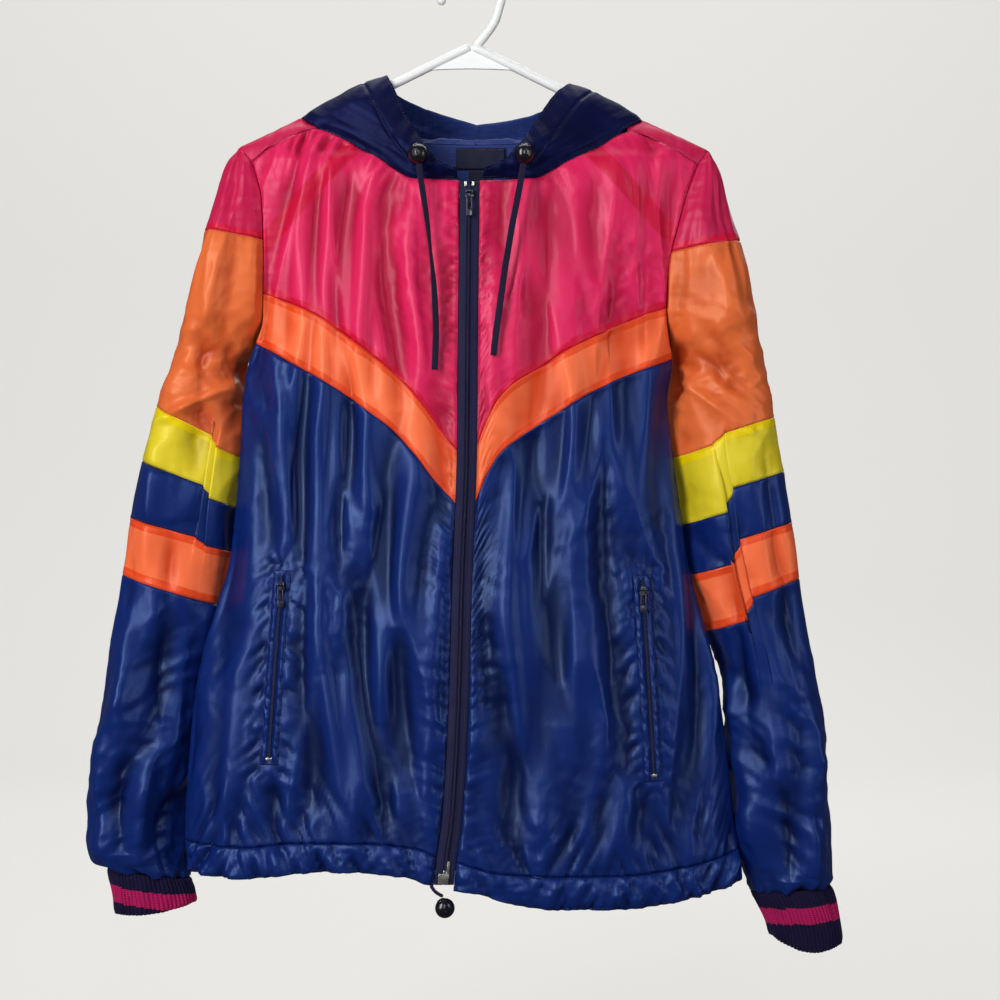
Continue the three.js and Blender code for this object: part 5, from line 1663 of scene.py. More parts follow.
class Solids:
    """Gathers the small solids of one moulded or cast piece into one mesh."""

    def __init__(self) -> None:
        """Starts with an empty mesh."""
        self.mesh = bmesh.new()

    def take(self, made: dict, place: Matrix) -> list[bmesh.types.BMVert]:
        """Moves what a bmesh maker just made, and returns its points."""
        points = made["verts"]
        bmesh.ops.transform(self.mesh, matrix=place, verts=points)
        return points

    def block(self, size: tuple[float, float, float], place: Matrix, round_mm: float = 0.3, segments: int = 2) -> None:
        """Adds a block with rounded edges.

        Args:
            size: its sides, in millimetres.
            place: where its middle goes.
            round_mm: the radius of its edges.
            segments: how finely they are rounded.
        """
        points = self.take(bmesh.ops.create_cube(self.mesh, size=1.0), place @ Matrix.Diagonal((*size, 1.0)))
        edges = list({edge for point in points for edge in point.link_edges})
        bmesh.ops.bevel(
            self.mesh, geom=edges, offset=round_mm, segments=segments, profile=0.6, affect="EDGES",
            clamp_overlap=True,
        )

    def rod(self, start: Sequence[float], end: Sequence[float], radius: float, sides: int = 14) -> None:
        """Adds a straight rod between two points."""
        start, end = Vector(start), Vector(end)
        turn = (end - start).to_track_quat("Z", "Y").to_matrix().to_4x4()
        made = bmesh.ops.create_cone(
            self.mesh, cap_ends=True, segments=sides, radius1=radius, radius2=radius, depth=(end - start).length,
        )
        self.take(made, Matrix.Translation((start + end) / 2) @ turn)

    def ring(self, centre: Sequence[float], axis: Sequence[float], radius: float, wire: float) -> None:
        """Adds a ring of round wire."""
        turn = Vector(axis).to_track_quat("Z", "Y").to_matrix().to_4x4()
        place, grid_points = Matrix.Translation(centre) @ turn, []
        for i in range(32):
            angle = 2 * math.pi * i / 32
            loop = []
            for j in range(10):
                bend = 2 * math.pi * j / 10
                far = radius + wire * math.cos(bend)
                point = Vector((far * math.cos(angle), far * math.sin(angle), wire * math.sin(bend)))
                loop.append(self.mesh.verts.new(place @ point))
            grid_points.append(loop)
        for i in range(32):
            for j in range(10):
                a, b = grid_points[i], grid_points[(i + 1) % 32]
                self.mesh.faces.new((a[j], b[j], b[(j + 1) % 10], a[(j + 1) % 10]))

    def lathe(self, profile: Sequence[tuple[float, float]], place: Matrix, sides: int = 40) -> None:
        """Adds a turned solid: its profile's radii and heights, about the Z axis of its place."""
        loops = []
        for radius, height in profile:
            count = 1 if radius == 0 else sides
            loops.append([
                self.mesh.verts.new(place @ Vector((
                    radius * math.cos(2 * math.pi * k / sides), radius * math.sin(2 * math.pi * k / sides), height,
                )))
                for k in range(count)
            ])
        for low, high in zip(loops, loops[1:]):
            for k in range(sides):
                a, b = low[k % len(low)], low[(k + 1) % len(low)]
                c, d = high[(k + 1) % len(high)], high[k % len(high)]
                corners = list(dict.fromkeys((a, b, c, d)))
                if len(corners) > 2:
                    self.mesh.faces.new(corners)

    def finish(self, name: str) -> bpy.types.Object:
        """Makes the object, in metres."""
        bmesh.ops.recalc_face_normals(self.mesh, faces=self.mesh.faces)
        bmesh.ops.scale(self.mesh, vec=(MM, MM, MM), verts=self.mesh.verts)
        mesh = bpy.data.meshes.new(name)
        self.mesh.to_mesh(mesh)
        self.mesh.free()
        mesh.polygons.foreach_set("use_smooth", [True] * len(mesh.polygons))
        mesh.set_sharp_from_angle(angle=math.radians(38))
        return link(bpy.data.objects.new(name, mesh))


def tube_mesh(name: str, path: np.ndarray, radius: float, sides: int = 14, twist: float = 0.0) -> bpy.types.Object:
    """Makes a round tube along a path, with rounded ends.

    Args:
        name: the piece's name.
        path: its centreline, (n, 3), in millimetres.
        radius: its radius.
        sides: how many sides it has.
        twist: how far its braid's small ridges turn for each millimetre, in radians. 0 for a plain tube.

    Returns:
        The object.
    """
    way = np.gradient(path, axis=0)
    way /= np.linalg.norm(way, axis=1, keepdims=True)
    side = np.cross(way, [0.0, 1.0, 0.0])
    weak = np.linalg.norm(side, axis=1) < 0.2
    side[weak] = np.cross(way[weak], [1.0, 0.0, 0.0])
    side /= np.linalg.norm(side, axis=1, keepdims=True)
    up = np.cross(side, way)
    run = np.concatenate([[0], np.cumsum(np.linalg.norm(np.diff(path, axis=0), axis=1))])
    ends = np.minimum(run, run[-1] - run)
    fat = radius * np.sqrt(np.clip(1 - np.clip(1 - ends / radius, 0, 1) ** 2, 0.02, 1))
    angle = np.linspace(0, 2 * np.pi, sides, endpoint=False)
    ridge = 0.0
    if twist:
        one = np.cos(4 * (angle[None] + twist * run[:, None]))
        two = np.cos(4 * (angle[None] - twist * run[:, None]))
        ridge = 0.09 * radius * np.maximum(one, two)
    reach = fat[:, None] + ridge
    points = path[:, None] + reach[..., None] * (
        np.cos(angle)[None, :, None] * side[:, None] + np.sin(angle)[None, :, None] * up[:, None]
    )
    number = np.arange(len(path) * sides).reshape(len(path), sides)
    following = np.roll(number, -1, axis=1)
    faces = np.stack([number[:-1], following[:-1], following[1:], number[1:]], axis=-1).reshape(-1, 4).tolist()
    faces += [number[0, ::-1].tolist(), number[-1].tolist()]
    return mesh_object(name, points.reshape(-1, 3), faces)


def curve_points(points: Sequence[Sequence[float]], step: float, closed: bool = False) -> np.ndarray:
    """A smooth line through a few points, sampled at even steps.

    Args:
        points: the points, in millimetres.
        step: the distance between samples.
        closed: whether it joins its own start.

    Returns:
        The samples, (n, 3).
    """
    rows = [Vector(point) for point in points]
    count = len(rows)
    samples = []
    for i in range(count if closed else count - 1):
        before, start, end, after = (
            rows[(i - 1) % count] if closed or i else rows[0] * 2 - rows[1],
            rows[i],
            rows[(i + 1) % count],
            rows[(i + 2) % count] if closed or i + 2 < count else rows[-1] * 2 - rows[-2],
        )
        gaps = [max((b - a).length, 1e-6) ** 0.5 for a, b in ((before, start), (start, end), (end, after))]
        leave = ((start - before) / gaps[0] - (end - before) / (gaps[0] + gaps[1]) + (end - start) / gaps[1]) * gaps[1]
        reach = ((end - start) / gaps[1] - (after - start) / (gaps[1] + gaps[2]) + (after - end) / gaps[2]) * gaps[1]
        for k in range(16):
            t = k / 16
            samples.append(
                (2 * t**3 - 3 * t**2 + 1) * start + (t**3 - 2 * t**2 + t) * leave
                + (3 * t**2 - 2 * t**3) * end + (t**3 - t**2) * reach
            )
    samples.append(rows[0] if closed else rows[-1])
    line = np.array(samples)
    run = np.concatenate([[0], np.cumsum(np.linalg.norm(np.diff(line, axis=0), axis=1))])
    at = np.linspace(0, run[-1], max(2, round(run[-1] / step) + 1))
    return np.stack([np.interp(at, run, line[:, k]) for k in range(3)], axis=-1)


@dataclass
class Slider:
    """A zip's slider with its pull, painted dark: the pull has a body of its own and swings on its bridge."""

    name: str
    pull_length: float
    width: float = 7.2
    ear_half: float = 2.6
    bright: bool = False

    def build(self, lean: float, pivot: Sequence[float]) -> None:
        """Makes the slider and its pull.

        Args:
            lean: how far the cloth leans there, in radians.
            pivot: the pull's pin, in millimetres.
        """
        place = Matrix.Translation(pivot) @ Matrix.Rotation(lean, 4, "X")
        look = NICKEL if self.bright else SLIDER_METAL
        body = Solids()
        # A wedge of two wings above the cloth, narrower at its foot, under a bridge for the pull
        for part in (-1, 1):
            wing = place @ Matrix.Translation((part * self.width * 0.2, 2.9, -1.0)) @ Matrix.Rotation(-part * 0.2, 4, "Y")
            body.block((self.width * 0.5, 1.5, 7.0), wing, 0.5, 3)
        body.block((self.width * 0.8, 1.4, 5.0), place @ Matrix.Translation((0, 2.9, -3.6)), 0.5, 3)
        for part in (-1, 1):
            body.block((1.0, 3.6, 3.0), place @ Matrix.Translation((part * self.ear_half, 0.9, 0)), 0.35, 2)
        start, end = (place @ Vector((part * self.ear_half, 0, 0)) for part in (-1, 1))
        body.rod(start, end, 0.7)
        dress(body.finish(f"{self.name}_slider_body"), [look], [f"{self.name}_slider"])
        pull = Solids()
        pull.ring(place @ Vector((0, 0, 0)), place.to_3x3() @ Vector((1, 0, 0)), 1.4, 0.42)
        pull.block((1.7, 1.1, 3.2), place @ Matrix.Translation((0, 0, -3.0)), 0.4, 3)
        # The tab is a frame round a long slot, with a plain flat grip at its foot
        length, top = self.pull_length, -4.2
        for part in (-1, 1):
            rail = place @ Matrix.Translation((part * 1.95, 0, top - (length - 10) / 2))
            pull.block((1.1, 1.2, length - 9), rail, 0.4, 3)
        pull.block((5.0, 1.2, 1.5), place @ Matrix.Translation((0, 0, top)), 0.45, 3)
        pull.block((5.2, 1.3, 6.0), place @ Matrix.Translation((0, 0, -length + 3.0)), 0.6, 3)
        obj = pull.finish(f"{self.name}_pull_tab")
        dress(obj, [look], [f"{self.name}_pull"], f"{self.name}_pull")


def teeth_mesh(name: str, path: np.ndarray, facing: np.ndarray, pitch: float = 2.0, reach: float = 1.9) -> bpy.types.Object:
    """Makes a closed coil zip: loops of monofilament that mesh from the left and the right in turn.

    Args:
        name: the piece's name.
        path: the zip's middle line, (n, 3), in millimetres.
        facing: the normals along it.
        pitch: from one loop to the next.
        reach: how far a loop reaches to its side.

    Returns:
        The object.
    """
    run = np.concatenate([[0], np.cumsum(np.linalg.norm(np.diff(path, axis=0), axis=1))])
    points, faces = [], []
    count = int(run[-1] / (pitch / 2))
    for i in range(count):
        at = (i + 0.5) * run[-1] / count
        middle = np.array([np.interp(at, run, path[:, k]) for k in range(3)])
        up = np.array([np.interp(at, run, facing[:, k]) for k in range(3)])
        ahead = np.array([np.interp(min(at + 1, run[-1]), run, path[:, k]) for k in range(3)]) - middle
        ahead /= max(np.linalg.norm(ahead), 1e-6)
        beside = np.cross(ahead, up) * (1 if i % 2 else -1)
        base = len(points)
        # Each loop is a flattened bead, low at the tape and high at the middle
        for s, rise, fat in ((-0.7, 0.35, 0.42), (0.2, 0.75, 0.62), (1.2, 0.55, 0.6), (reach, 0.0, 0.34)):
            for a in range(6):
                turn = 2 * np.pi * a / 6
                points.append(middle + beside * s + up * (rise + fat * np.sin(turn)) + ahead * fat * 0.9 * np.cos(turn))
        for r in range(3):
            for a in range(6):
                one, two = base + r * 6 + a, base + r * 6 + (a + 1) % 6
                faces.append((one, two, two + 6, one + 6))
        faces.append(tuple(base + a for a in range(5, -1, -1)))
        faces.append(tuple(base + 18 + a for a in range(6)))
    return mesh_object(name, np.array(points), faces)


# Zips, cords and hanger


def front_slope(z: float) -> float:
    """How far the front leans at a height, in radians."""
    return float(np.arctan2(FRONT_DEPTH(z - 12) - FRONT_DEPTH(z + 6), 18))


@dataclass
class FrontZip:
    """The front's coil zip between its two tapes, closed up to the neck."""

    foot: float = -772.0
    top: float = -187.0
    pin: tuple[float, float, float] = (-1.11, -36.532, -196.0)
    stitches: list[tuple[str, np.ndarray]] = field(default_factory=list)

    def tape(self, side: Side) -> None:
        """Makes one tape: it rises a little to the coil and lies under the front's folded edge."""
        u, v = grid(8, 300)
        z = mix(self.foot, self.top, v)
        near = mix(COIL_HALF - 0.5, TAPE_HALF - 0.2, u)
        x = ZIP_X(z) + side.value * near
        rise = 0.5 * np.exp(-(((near - COIL_HALF) / 1.6) ** 2)) - 0.5 * smooth((near - 5.5) / 2.5)
        y = -FRONT_DEPTH(z) - rise - Body.zip_wave(z) + 0.3
        points = np.stack([x, y, z], axis=-1)
        node = f"zip_tape_{side.word}"
        obj = cloth_object(f"{node}_weave", points, side.value, 0.7)
        dress(obj, [ZIP_TAPE], [node])
        self.stitches.append(("tape", line_on(points, side.value, "right", 3.0, 0.5)))

    def build(self) -> None:
        """Makes the tapes, the coil, its stops and the slider."""
        for side in Side:
            self.tape(side)
        z = np.linspace(self.foot + 4, self.top - 3, 500)
        path = np.stack([ZIP_X(z), -FRONT_DEPTH(z) - 0.9 - Body.zip_wave(z), z], axis=-1)
        facing = np.tile([0.0, -1.0, 0.0], (len(z), 1))
        dress(teeth_mesh("zip_coil_loops", path, facing), [COIL_NYLON], ["zip_coil"])
        Slider("zip", 21.0).build(-front_slope(-200), self.pin)
        # Pressed stops: two at the top, and the box with its pin at the foot
        stops = Solids()
        for part in (-1, 1):
            stops.block((2.2, 2.2, 4.0), Matrix.Translation((ZIP_X(-189) + part * 3.2, -FRONT_DEPTH(-189) - 1.0, -189)), 0.5)
        foot = Matrix.Translation((ZIP_X(-770) - 0.4, -FRONT_DEPTH(-770) - 1.4, -767)) @ Matrix.Rotation(0.06, 4, "Y")
        stops.block((8.6, 2.6, 9.0), foot, 0.7, 3)
        stops.block((2.2, 1.6, 14.0), foot @ Matrix.Translation((3.4, -0.4, 8.0)), 0.5, 3)
        dress(stops.finish("zip_stops"), [NICKEL])


@dataclass
class Pockets:
    """The two zipped pockets: a narrow coil zip between the lips of a welt, with its slider at the top."""

    pins: dict[Side, tuple[float, float, float]] = field(default_factory=lambda: {
        Side.LEFT: (-157.815, -44.035, -524.0),
        Side.RIGHT: (143.698, -42.649, -528.0),
    })
    stitches: list[tuple[str, np.ndarray]] = field(default_factory=list)

    def surface(self, side: Side, x: np.ndarray, z: np.ndarray) -> np.ndarray:
        """Points of the front's own cloth at places seen from the front."""
        a = (x - ZIP_X(z) - side.value * TAPE_HALF) / (EDGE[side](z) - ZIP_X(z) - side.value * TAPE_HALF)
        return Body.front(side, np.clip(a, 0, 1), z)

    def build(self) -> None:
        """Makes both pockets."""
        for side in Side:
            (x0, z0), (x1, z1) = POCKETS[side]
            node = f"pocket_{side.word}"
            u, v = grid(28, 110)
            z = mix(z1, z0, v)
            beside = mix(-POCKET_HALF, POCKET_HALF, u)
            wavy = 0.9 * Body.fine.at(z / 9, np.sign(beside) * 5 + 20) * np.abs(beside) / POCKET_HALF
            x = mix(x1, x0, v) + beside + 0.5 * Body.fine.at(z / 18, u * 0 + 3) + wavy
            points = self.surface(side, x, z)
            # Two soft lips stand proud on either side of the zip's slot
            lips = 1.7 * np.exp(-(((np.abs(beside) - 4.6) / 1.7) ** 2)) - 0.5 * np.exp(-((beside / 2.2) ** 2))
            ripple = 1.1 * Body.fine.creases((z + beside) / 8, beside / 9 + 20) * smooth((np.abs(beside) - 2.6) / 2)
            ends = smooth((z0 - z) / 5) * smooth((z - z1) / 5)
            points[..., 1] -= 0.6 + (lips + ripple) * ends * smooth((POCKET_HALF - np.abs(beside)) / 1.2 + 0.2)
            obj = cloth_object(f"{node}_welt", points, 1, 0.5)
            dress(obj, [NAVY_NYLON], [node])
            declare_sheet(obj, points)
            for edge in ("left", "right", "foot", "top"):
                self.stitches.append(("navy", line_on(points, 1, edge, 1.2)))
            z = np.linspace(z1 + 5, z0 - 4, 240)
            path = self.surface(side, mix(x1, x0, (z - z1) / (z0 - z1)), z) - [0.0, 0.9, 0.0]
            facing = np.tile([0.0, -1.0, 0.0], (len(z), 1))
            dress(teeth_mesh(f"{node}_coil", path, facing, 1.7, 1.6), [COIL_NYLON])
            Slider(node, 19.0, 5.8).build(-front_slope(z0 - 12), self.pins[side])
            stop = Solids()
            place = Matrix.Translation(path[0] - np.array([0.0, 0.5, 0.0]))
            stop.block((5.0, 1.6, 2.6), place, 0.5)
            dress(stop.finish(f"{node}_stop"), [NICKEL])


DRAWCORD_ROUTES = {
    Side.LEFT: [
        (-43, -46, -174.9), (-40.5, -48, -192), (-38, -49.5, -208), (-35.5, -49.5, -226), (-33.5, -50, -244),
        (-31.5, -50.5, -262), (-30, -51, -280), (-29, -51.5, -298), (-28.5, -52, -316), (-29, -52, -332),
        (-29.5, -52, -346),
    ],
    Side.RIGHT: [
        (44, -46.4, -174.9), (41, -48, -192), (38, -49.5, -208), (34.5, -49.5, -226), (31.5, -50, -244),
        (28.5, -50.5, -262), (26, -51, -280), (23.5, -51.5, -298), (21, -52, -316), (19, -52, -334),
    ],
}
HEM_CORD_ROUTE = [(-33, -53, -771.7), (-29, -55.5, -776.5), (-22.5, -56, -780.5)]
# How far the flat braid has turned edge-on, from its stopper to its end
CORD_TURNS = {
    Side.LEFT: Track([(0, 0.2), (0.3, 0.9), (0.42, 1.25), (0.6, 0.7), (0.8, 0.25), (1, 0.1)]),
    Side.RIGHT: Track([(0, 0.1), (0.45, 0.3), (0.75, -0.1), (1, 0.1)]),
}


def flat_cord(name: str, path: np.ndarray, width: float, thickness: float, turn: Track) -> bpy.types.Object:
    """Makes a flat braided cord along a path.

    Args:
        name: the piece's name.
        path: its centreline, (n, 3), in millimetres.
        width: its width.
        thickness: its thickness.
        turn: its turn about its own line, in radians, by the part of its length from 0 to 1.

    Returns:
        The object.
    """
    way = np.gradient(path, axis=0)
    way /= np.linalg.norm(way, axis=1, keepdims=True)
    facing = np.tile([0.0, -1.0, 0.0], (len(path), 1))
    facing -= way * (facing * way).sum(axis=1, keepdims=True)
    facing /= np.linalg.norm(facing, axis=1, keepdims=True)
    beside = np.cross(way, facing)
    run = np.concatenate([[0], np.cumsum(np.linalg.norm(np.diff(path, axis=0), axis=1))])
    angle = turn(run / run[-1])[:, None]
    across, out = beside * np.cos(angle) + facing * np.sin(angle), facing * np.cos(angle) - beside * np.sin(angle)
    sides = 24
    ring = np.linspace(0, 2 * np.pi, sides, endpoint=False)
    c, s = np.cos(ring), np.sin(ring)
    flat_c, flat_s = np.sign(c) * np.abs(c) ** 0.8, np.sign(s) * np.abs(s) ** 0.7
    place = flat_c * width / 2
    # Braid: strands that cross at a slant, 1.5 mm apart
    weave = 0.11 * np.maximum(
        np.cos((run[:, None] + place[None]) * 2 * np.pi / 1.5), np.cos((run[:, None] - place[None]) * 2 * np.pi / 1.5),
    )
    ends = np.minimum(run, run[-1] - run)[:, None]
    full = np.sqrt(np.clip(1 - np.clip(1 - ends / (thickness * 0.6), 0, 1) ** 2, 0.1, 1))
    points = (
        path[:, None]
        + across[:, None] * (flat_c * width / 2)[None, :, None] * (0.85 + 0.15 * full)[..., None]
        + out[:, None] * ((flat_s * thickness / 2)[None] * full + weave * np.sign(s)[None] * full)[..., None]
    )
    number = np.arange(len(path) * sides).reshape(len(path), sides)
    following = np.roll(number, -1, axis=1)
    faces = np.stack([number[:-1], following[:-1], following[1:], number[1:]], axis=-1).reshape(-1, 4).tolist()
    faces += [number[0, ::-1].tolist(), number[-1].tolist()]
    return mesh_object(name, points.reshape(-1, 3), faces)


@dataclass
class Drawcords:
    """The hood's flat drawcords with their ball stoppers, and the hem's cord with its toggle."""

    width: float = 5.4
    thickness: float = 1.9
    ball: float = 8.2
    balls: dict[Side, tuple[float, float, float]] = field(default_factory=lambda: {
        Side.LEFT: (-44, -45, -166),
        Side.RIGHT: (45, -45.5, -166),
    })
    toggle: tuple[float, float, float] = (-21, -56, -790)

    def cords(self) -> None:
        """Makes the two free drawcords, which hang from their stoppers and end in plain sealed ends."""
        for side in Side:
            node = f"drawcord_{side.word}"
            path = curve_points(DRAWCORD_ROUTES[side], 0.75)
            obj = flat_cord(f"{node}_braid", path, self.width, self.thickness, CORD_TURNS[side])
            dress(obj, [BRAID], [node])

    def stopper(self, name: str, centre: Sequence[float], lean: float, spin: float) -> None:
        """Makes one ball stopper: two half shells with a parting line, a spring button and a cord hole through.

        Args:
            name: the CAD node that it stands for.
            centre: its middle, in millimetres.
            lean: how far its button leans from upright, in radians.
            spin: how far its hole turns to the side.
        """
        place = (
            Matrix.Translation(centre) @ Matrix.Rotation(spin, 4, "Z") @ Matrix.Rotation(lean, 4, "Y")
            @ Matrix.Diagonal((1.0, 0.82, 1.0, 1.0))
        )
        body = Solids()
        profile = [(0, -self.ball)]
        for i in range(1, 22):
            angle = math.pi * (i / 22 - 0.5)
            height = self.ball * math.sin(angle)
            groove = 0.28 * math.exp(-(((height + 0.4) / 0.35) ** 2))
            if height < self.ball * 0.78:
                profile.append((self.ball * math.cos(angle) - groove, height))
        collar = self.ball * 0.6
        profile += [(collar, self.ball * 0.8), (collar - 0.7, self.ball * 0.83), (collar - 1.0, self.ball * 0.8), (0, self.ball * 0.8)]
        body.lathe(profile, place)
        button = [(collar - 1.3, self.ball * 0.5), (collar - 1.3, self.ball * 0.92), (collar - 1.9, self.ball * 0.99), (0, self.ball * 1.0)]
        body.lathe(button, place)
        # The rim of the cord hole, on the front
        hole = place @ Vector((0, -self.ball * 0.95, 0))
        body.ring(hole, (place.to_3x3() @ Vector((0, -1, 0))).normalized(), 2.5, 0.5)
        body.lathe([(0, 0.1), (2.2, 0.1), (2.4, 0.5)], Matrix.Translation(hole) @ Matrix.Rotation(math.pi / 2, 4, "X"), 24)
        dress(body.finish(f"{name}_ball"), [STOPPER_PLASTIC], [name])

    def build(self) -> None:
        """Makes the stoppers, the toggle and the hem's cord."""
        for side in Side:
            self.stopper(f"stopper_{side.word}", self.balls[side], 0.35 * side.value, 0.2 * side.value)
        self.stopper("hem_toggle", self.toggle, -0.5, 0.3)
        loop = curve_points(HEM_CORD_ROUTE, 0.5)
        dress(tube_mesh("hem_cord_braid", loop, 1.4, 14, 1.1), [BRAID], ["hem_cord"])


@dataclass
class Hanger:
    """The moulded tubular hanger: a hook on a stem, two sloping arms, a bar below and a web in the crotch."""

    tube: float = 8.0
    hook: float = 26.0
    slope: float = 0.5
    crown: float = -66.0

    def arm_at(self, x: float) -> float:
        """Height of an arm's centreline."""
        return self.crown - self.slope * abs(x)

    def build(self) -> None:
        """Makes the hanger's tubes and its web."""
        middle = -self.hook + self.tube / 2
        hook = []
        for i in range(29):
            angle = mix(math.pi * 1.12, -0.12 * math.pi, i / 28)
            hook.append((self.hook * math.cos(angle), 0, middle + self.hook * math.sin(angle)))
        hook += [(20, 0, -45), (12, 0, -57), (3, 0, -68)]
        rod = tube_mesh("hanger_hook", curve_points(hook, 1.6), self.tube / 2, 28)
        dress(rod, [HANGER_PLASTIC])
        half = [
            (0, self.arm_at(2)), (8, self.arm_at(9)), (60, self.arm_at(60)), (120, self.arm_at(120)),
            (170, self.arm_at(170)), (186, self.arm_at(187)), (194, -170), (195, -183), (187, -194), (172, -197),
            (90, -197), (0, -197),
        ]
        loop = [(x, 0, z) for x, z in half] + [(-x, 0, z) for x, z in half[-2:0:-1]] + [(0, 0, self.arm_at(2))]
        frame_tube = tube_mesh("hanger_frame", curve_points(loop, 2.2), self.tube / 2, 28)
        dress(frame_tube, [HANGER_PLASTIC], ["hanger"])
        web = Solids()
        outline = [(-46, self.arm_at(46) + 1), (-8, self.arm_at(8) + 3), (8, self.arm_at(8) + 3), (46, self.arm_at(46) + 1)]
        for i in range(1, 12):
            t = i / 12
            outline.append((
                (1 - t) ** 2 * 46 + t**2 * -46,
                ((1 - t) ** 2 + t**2) * (self.arm_at(46) + 1) + 2 * t * (1 - t) * (self.arm_at(46) + 5),
            ))
        near = [web.mesh.verts.new((x, -1.5, z)) for x, z in outline]
        far = [web.mesh.verts.new((x, 1.5, z)) for x, z in outline]
        web.mesh.faces.new(near)
        web.mesh.faces.new(far[::-1])
        for k, point in enumerate(near):
            web.mesh.faces.new((near[k - 1], point, far[k], far[k - 1]))
        dress(web.finish("hanger_web"), [HANGER_PLASTIC])
        # A raised moulding seam runs along the middle of each arm
        seams = Solids()
        for part in (-1, 1):
            for y in (-1, 1):
                start = (part * 12, y * 3.98, self.arm_at(12))
                seams.rod(start, (part * 168, y * 3.98, self.arm_at(168)), 0.18, 6)
        dress(seams.finish("hanger_seams"), [HANGER_PLASTIC])


@dataclass
class Labels:
    """The bare satin neck label with its small care label."""

    inside: float = 3.4
    stitches: list[tuple[str, np.ndarray]] = field(default_factory=list)

    def tag(self, node: str, middle: float, width: float, high: float, low: float) -> None:
        """Makes one label.

        Args:
            node: the CAD node that it stands for.
            middle: the x of its middle.
            width: its width.
            high: its upper edge's height.
            low: its lower edge's height.
        """
        u, v = grid(24, 16)
        z = mix(low, high, v)
        x = middle + mix(-width / 2, width / 2, u)
        y = BACK_DEPTH(z) - self.inside - 0.5 * np.sin(np.pi * u) * (1 - v) - 0.25 * Body.fine.at(x / 9, z / 9)
        points = np.stack([x, y, z], axis=-1)
        obj = cloth_object(f"{node}_satin", points, 1, 0.5)
        dress(obj, [SATIN], [node])
        declare_sheet(obj, points)
        self.stitches.append(("navy", line_on(points, 1, "top", 1.5, 0.4)))

    def build(self) -> None:
        """Makes both labels."""
        self.tag("neck_label", 8, 42, -152, -170)
        self.tag("care_label", 8, 20, -170.6, -181)


# Studio


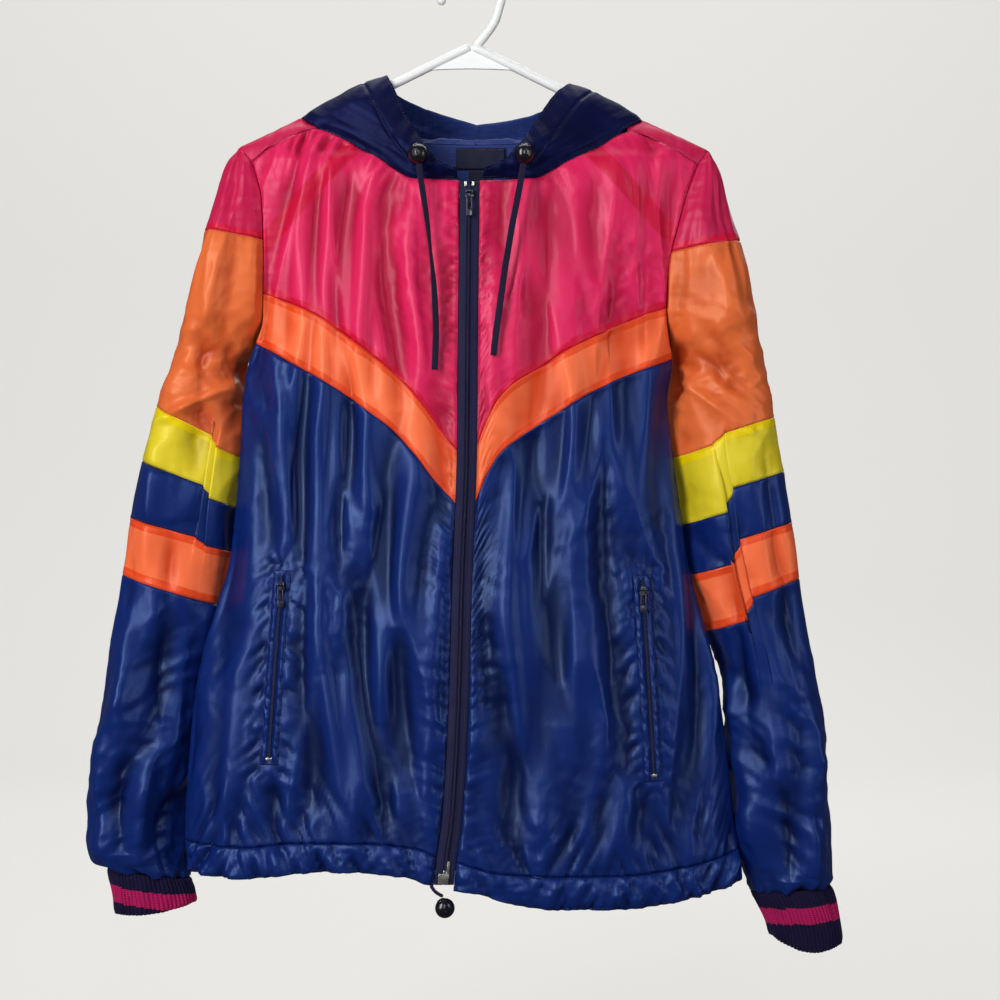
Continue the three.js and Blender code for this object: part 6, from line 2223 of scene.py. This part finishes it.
@dataclass
class Studio:
    """The camera at the photograph's angle, a pale floor that sweeps up behind, and soft lights."""

    aim: tuple[float, float, float] = (0.0244, 0.0, -0.4536)
    distance: float = 1.65
    seen: float = 0.84
    depth: float = 0.025
    sensor: float = 36.0
    floor: float = -1.02
    wall: float = 3.6

    def camera(self) -> None:
        """Places the camera so that one pixel of a thousand is 0.84 mm at the jacket's front."""
        data = bpy.data.cameras.new("photo_camera")
        data.sensor_width = self.sensor
        data.lens = self.sensor * self.distance / self.seen
        data.clip_start, data.clip_end = 0.05, 50.0
        obj = link(bpy.data.objects.new("photo_camera", data))
        obj.location = (self.aim[0], -self.distance - self.depth, self.aim[2])
        obj.rotation_euler = (math.pi / 2, 0, 0)
        bpy.context.scene.camera = obj

    def backdrop(self) -> None:
        """Makes the floor and the wall as one sheet with a wide bend."""
        profile = [(-4.5, self.floor), (self.wall - 1.2, self.floor)]
        for i in range(1, 17):
            angle = math.pi / 2 * i / 16
            profile.append((self.wall - 1.2 + 1.2 * math.sin(angle), self.floor + 1.2 * (1 - math.cos(angle))))
        profile.append((self.wall, 3.5))
        points = [(x * 1000, y * 1000, z * 1000) for y, z in profile for x in (-6.0, 6.0)]
        faces = [(2 * i, 2 * i + 1, 2 * i + 3, 2 * i + 2) for i in range(len(profile) - 1)]
        obj = mesh_object("studio_sweep", np.array(points), faces)
        obj.data.materials.append(finish_of(STUDIO_PAPER))
        # Black flags keep the white paper out of the cloth's highlights
        obj.visible_glossy = False

    def light(self, name: str, place: Sequence[float], size: tuple[float, float], power: float,
              towards: Sequence[float] | None = None) -> None:
        """Adds one soft rectangular light that faces the jacket, or another place."""
        data = bpy.data.lights.new(name, "AREA")
        data.shape, (data.size, data.size_y), data.energy = "RECTANGLE", size, power
        obj = link(bpy.data.objects.new(name, data))
        obj.location = place
        obj.rotation_euler = (Vector(towards or self.aim) - Vector(place)).to_track_quat("-Z", "Y").to_euler()

    def build(self) -> None:
        """Makes the lights and the surroundings."""
        self.backdrop()
        self.light("key_window", (-1.3, -1.8, 0.25), (0.7, 2.0), 47)
        self.light("fill_card", (1.9, -1.3, -0.1), (0.4, 1.8), 11)
        self.light("front_card", (0.25, -2.9, 0.4), (0.25, 1.6), 13.5)
        self.light("top_card", (0.0, 0.3, 1.6), (1.6, 0.9), 8)
        self.light("back_card", (0.6, 2.4, 0.9), (1.8, 1.2), 18)
        self.light("wall_wash", (0.0, 1.2, 2.4), (3.0, 0.8), 60, (0.0, 3.6, 0.0))
        world = bpy.data.worlds.new("studio_air")
        world.use_nodes = True
        tree = world.node_tree
        sky = tree.nodes["Background"]
        sky.inputs["Color"].default_value = linear("#F4F3F1")
        # The far walls look pale from every side, and throw little light on the cloth
        seen = add(tree, "LightPath").outputs["Is Camera Ray"]
        strength = add(tree, "MapRange", {"Value": seen, "To Min": 0.08, "To Max": 0.82})
        tree.links.new(strength.outputs["Result"], sky.inputs["Strength"])
        bpy.context.scene.world = world
        bpy.context.scene.view_settings.view_transform = "Standard"


THREADS = {
    "navy": NAVY_THREAD, "orange": ORANGE_THREAD, "yellow": YELLOW_THREAD, "pink": PINK_THREAD, "tape": NAVY_THREAD,
}


def sew_lines(lines: Iterable[tuple[str, np.ndarray]]) -> None:
    """Makes the stitches of all sub-assemblies, one piece for each colour of thread."""
    by_thread: dict[str, list[np.ndarray]] = {}
    for thread, line in lines:
        by_thread.setdefault(thread, []).append(line)
    for thread, rows in by_thread.items():
        dress(stitch_mesh(f"stitches_{thread}", rows), [THREADS[thread]])


def main() -> None:
    """Builds the jacket over its frame, one sub-assembly after another."""
    logging.basicConfig(level=logging.INFO, format="%(name)s: %(message)s")
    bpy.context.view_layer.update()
    studio = Studio()
    studio.camera()
    drawcords = Drawcords()
    drawcords.cords()
    fronts, back, shoulders, sleeves, hood = Fronts(), Back(), Shoulders(), Sleeves(), Hood()
    fronts.build()
    back.build()
    shoulders.build()
    sleeves.build()
    Cuffs().build(sleeves)
    hood.build()
    front_zip, pockets, labels = FrontZip(), Pockets(), Labels()
    front_zip.build()
    pockets.build()
    drawcords.build()
    labels.build()
    Hanger().build()
    sewn = (fronts, back, shoulders, sleeves, hood, front_zip, pockets, labels)
    sew_lines(line for piece in sewn for line in piece.stitches)
    studio.build()
    log.info("cut sizes in millimetres, area in square centimetres: %s", SHEETS)


if __name__ == "__main__":
    main()
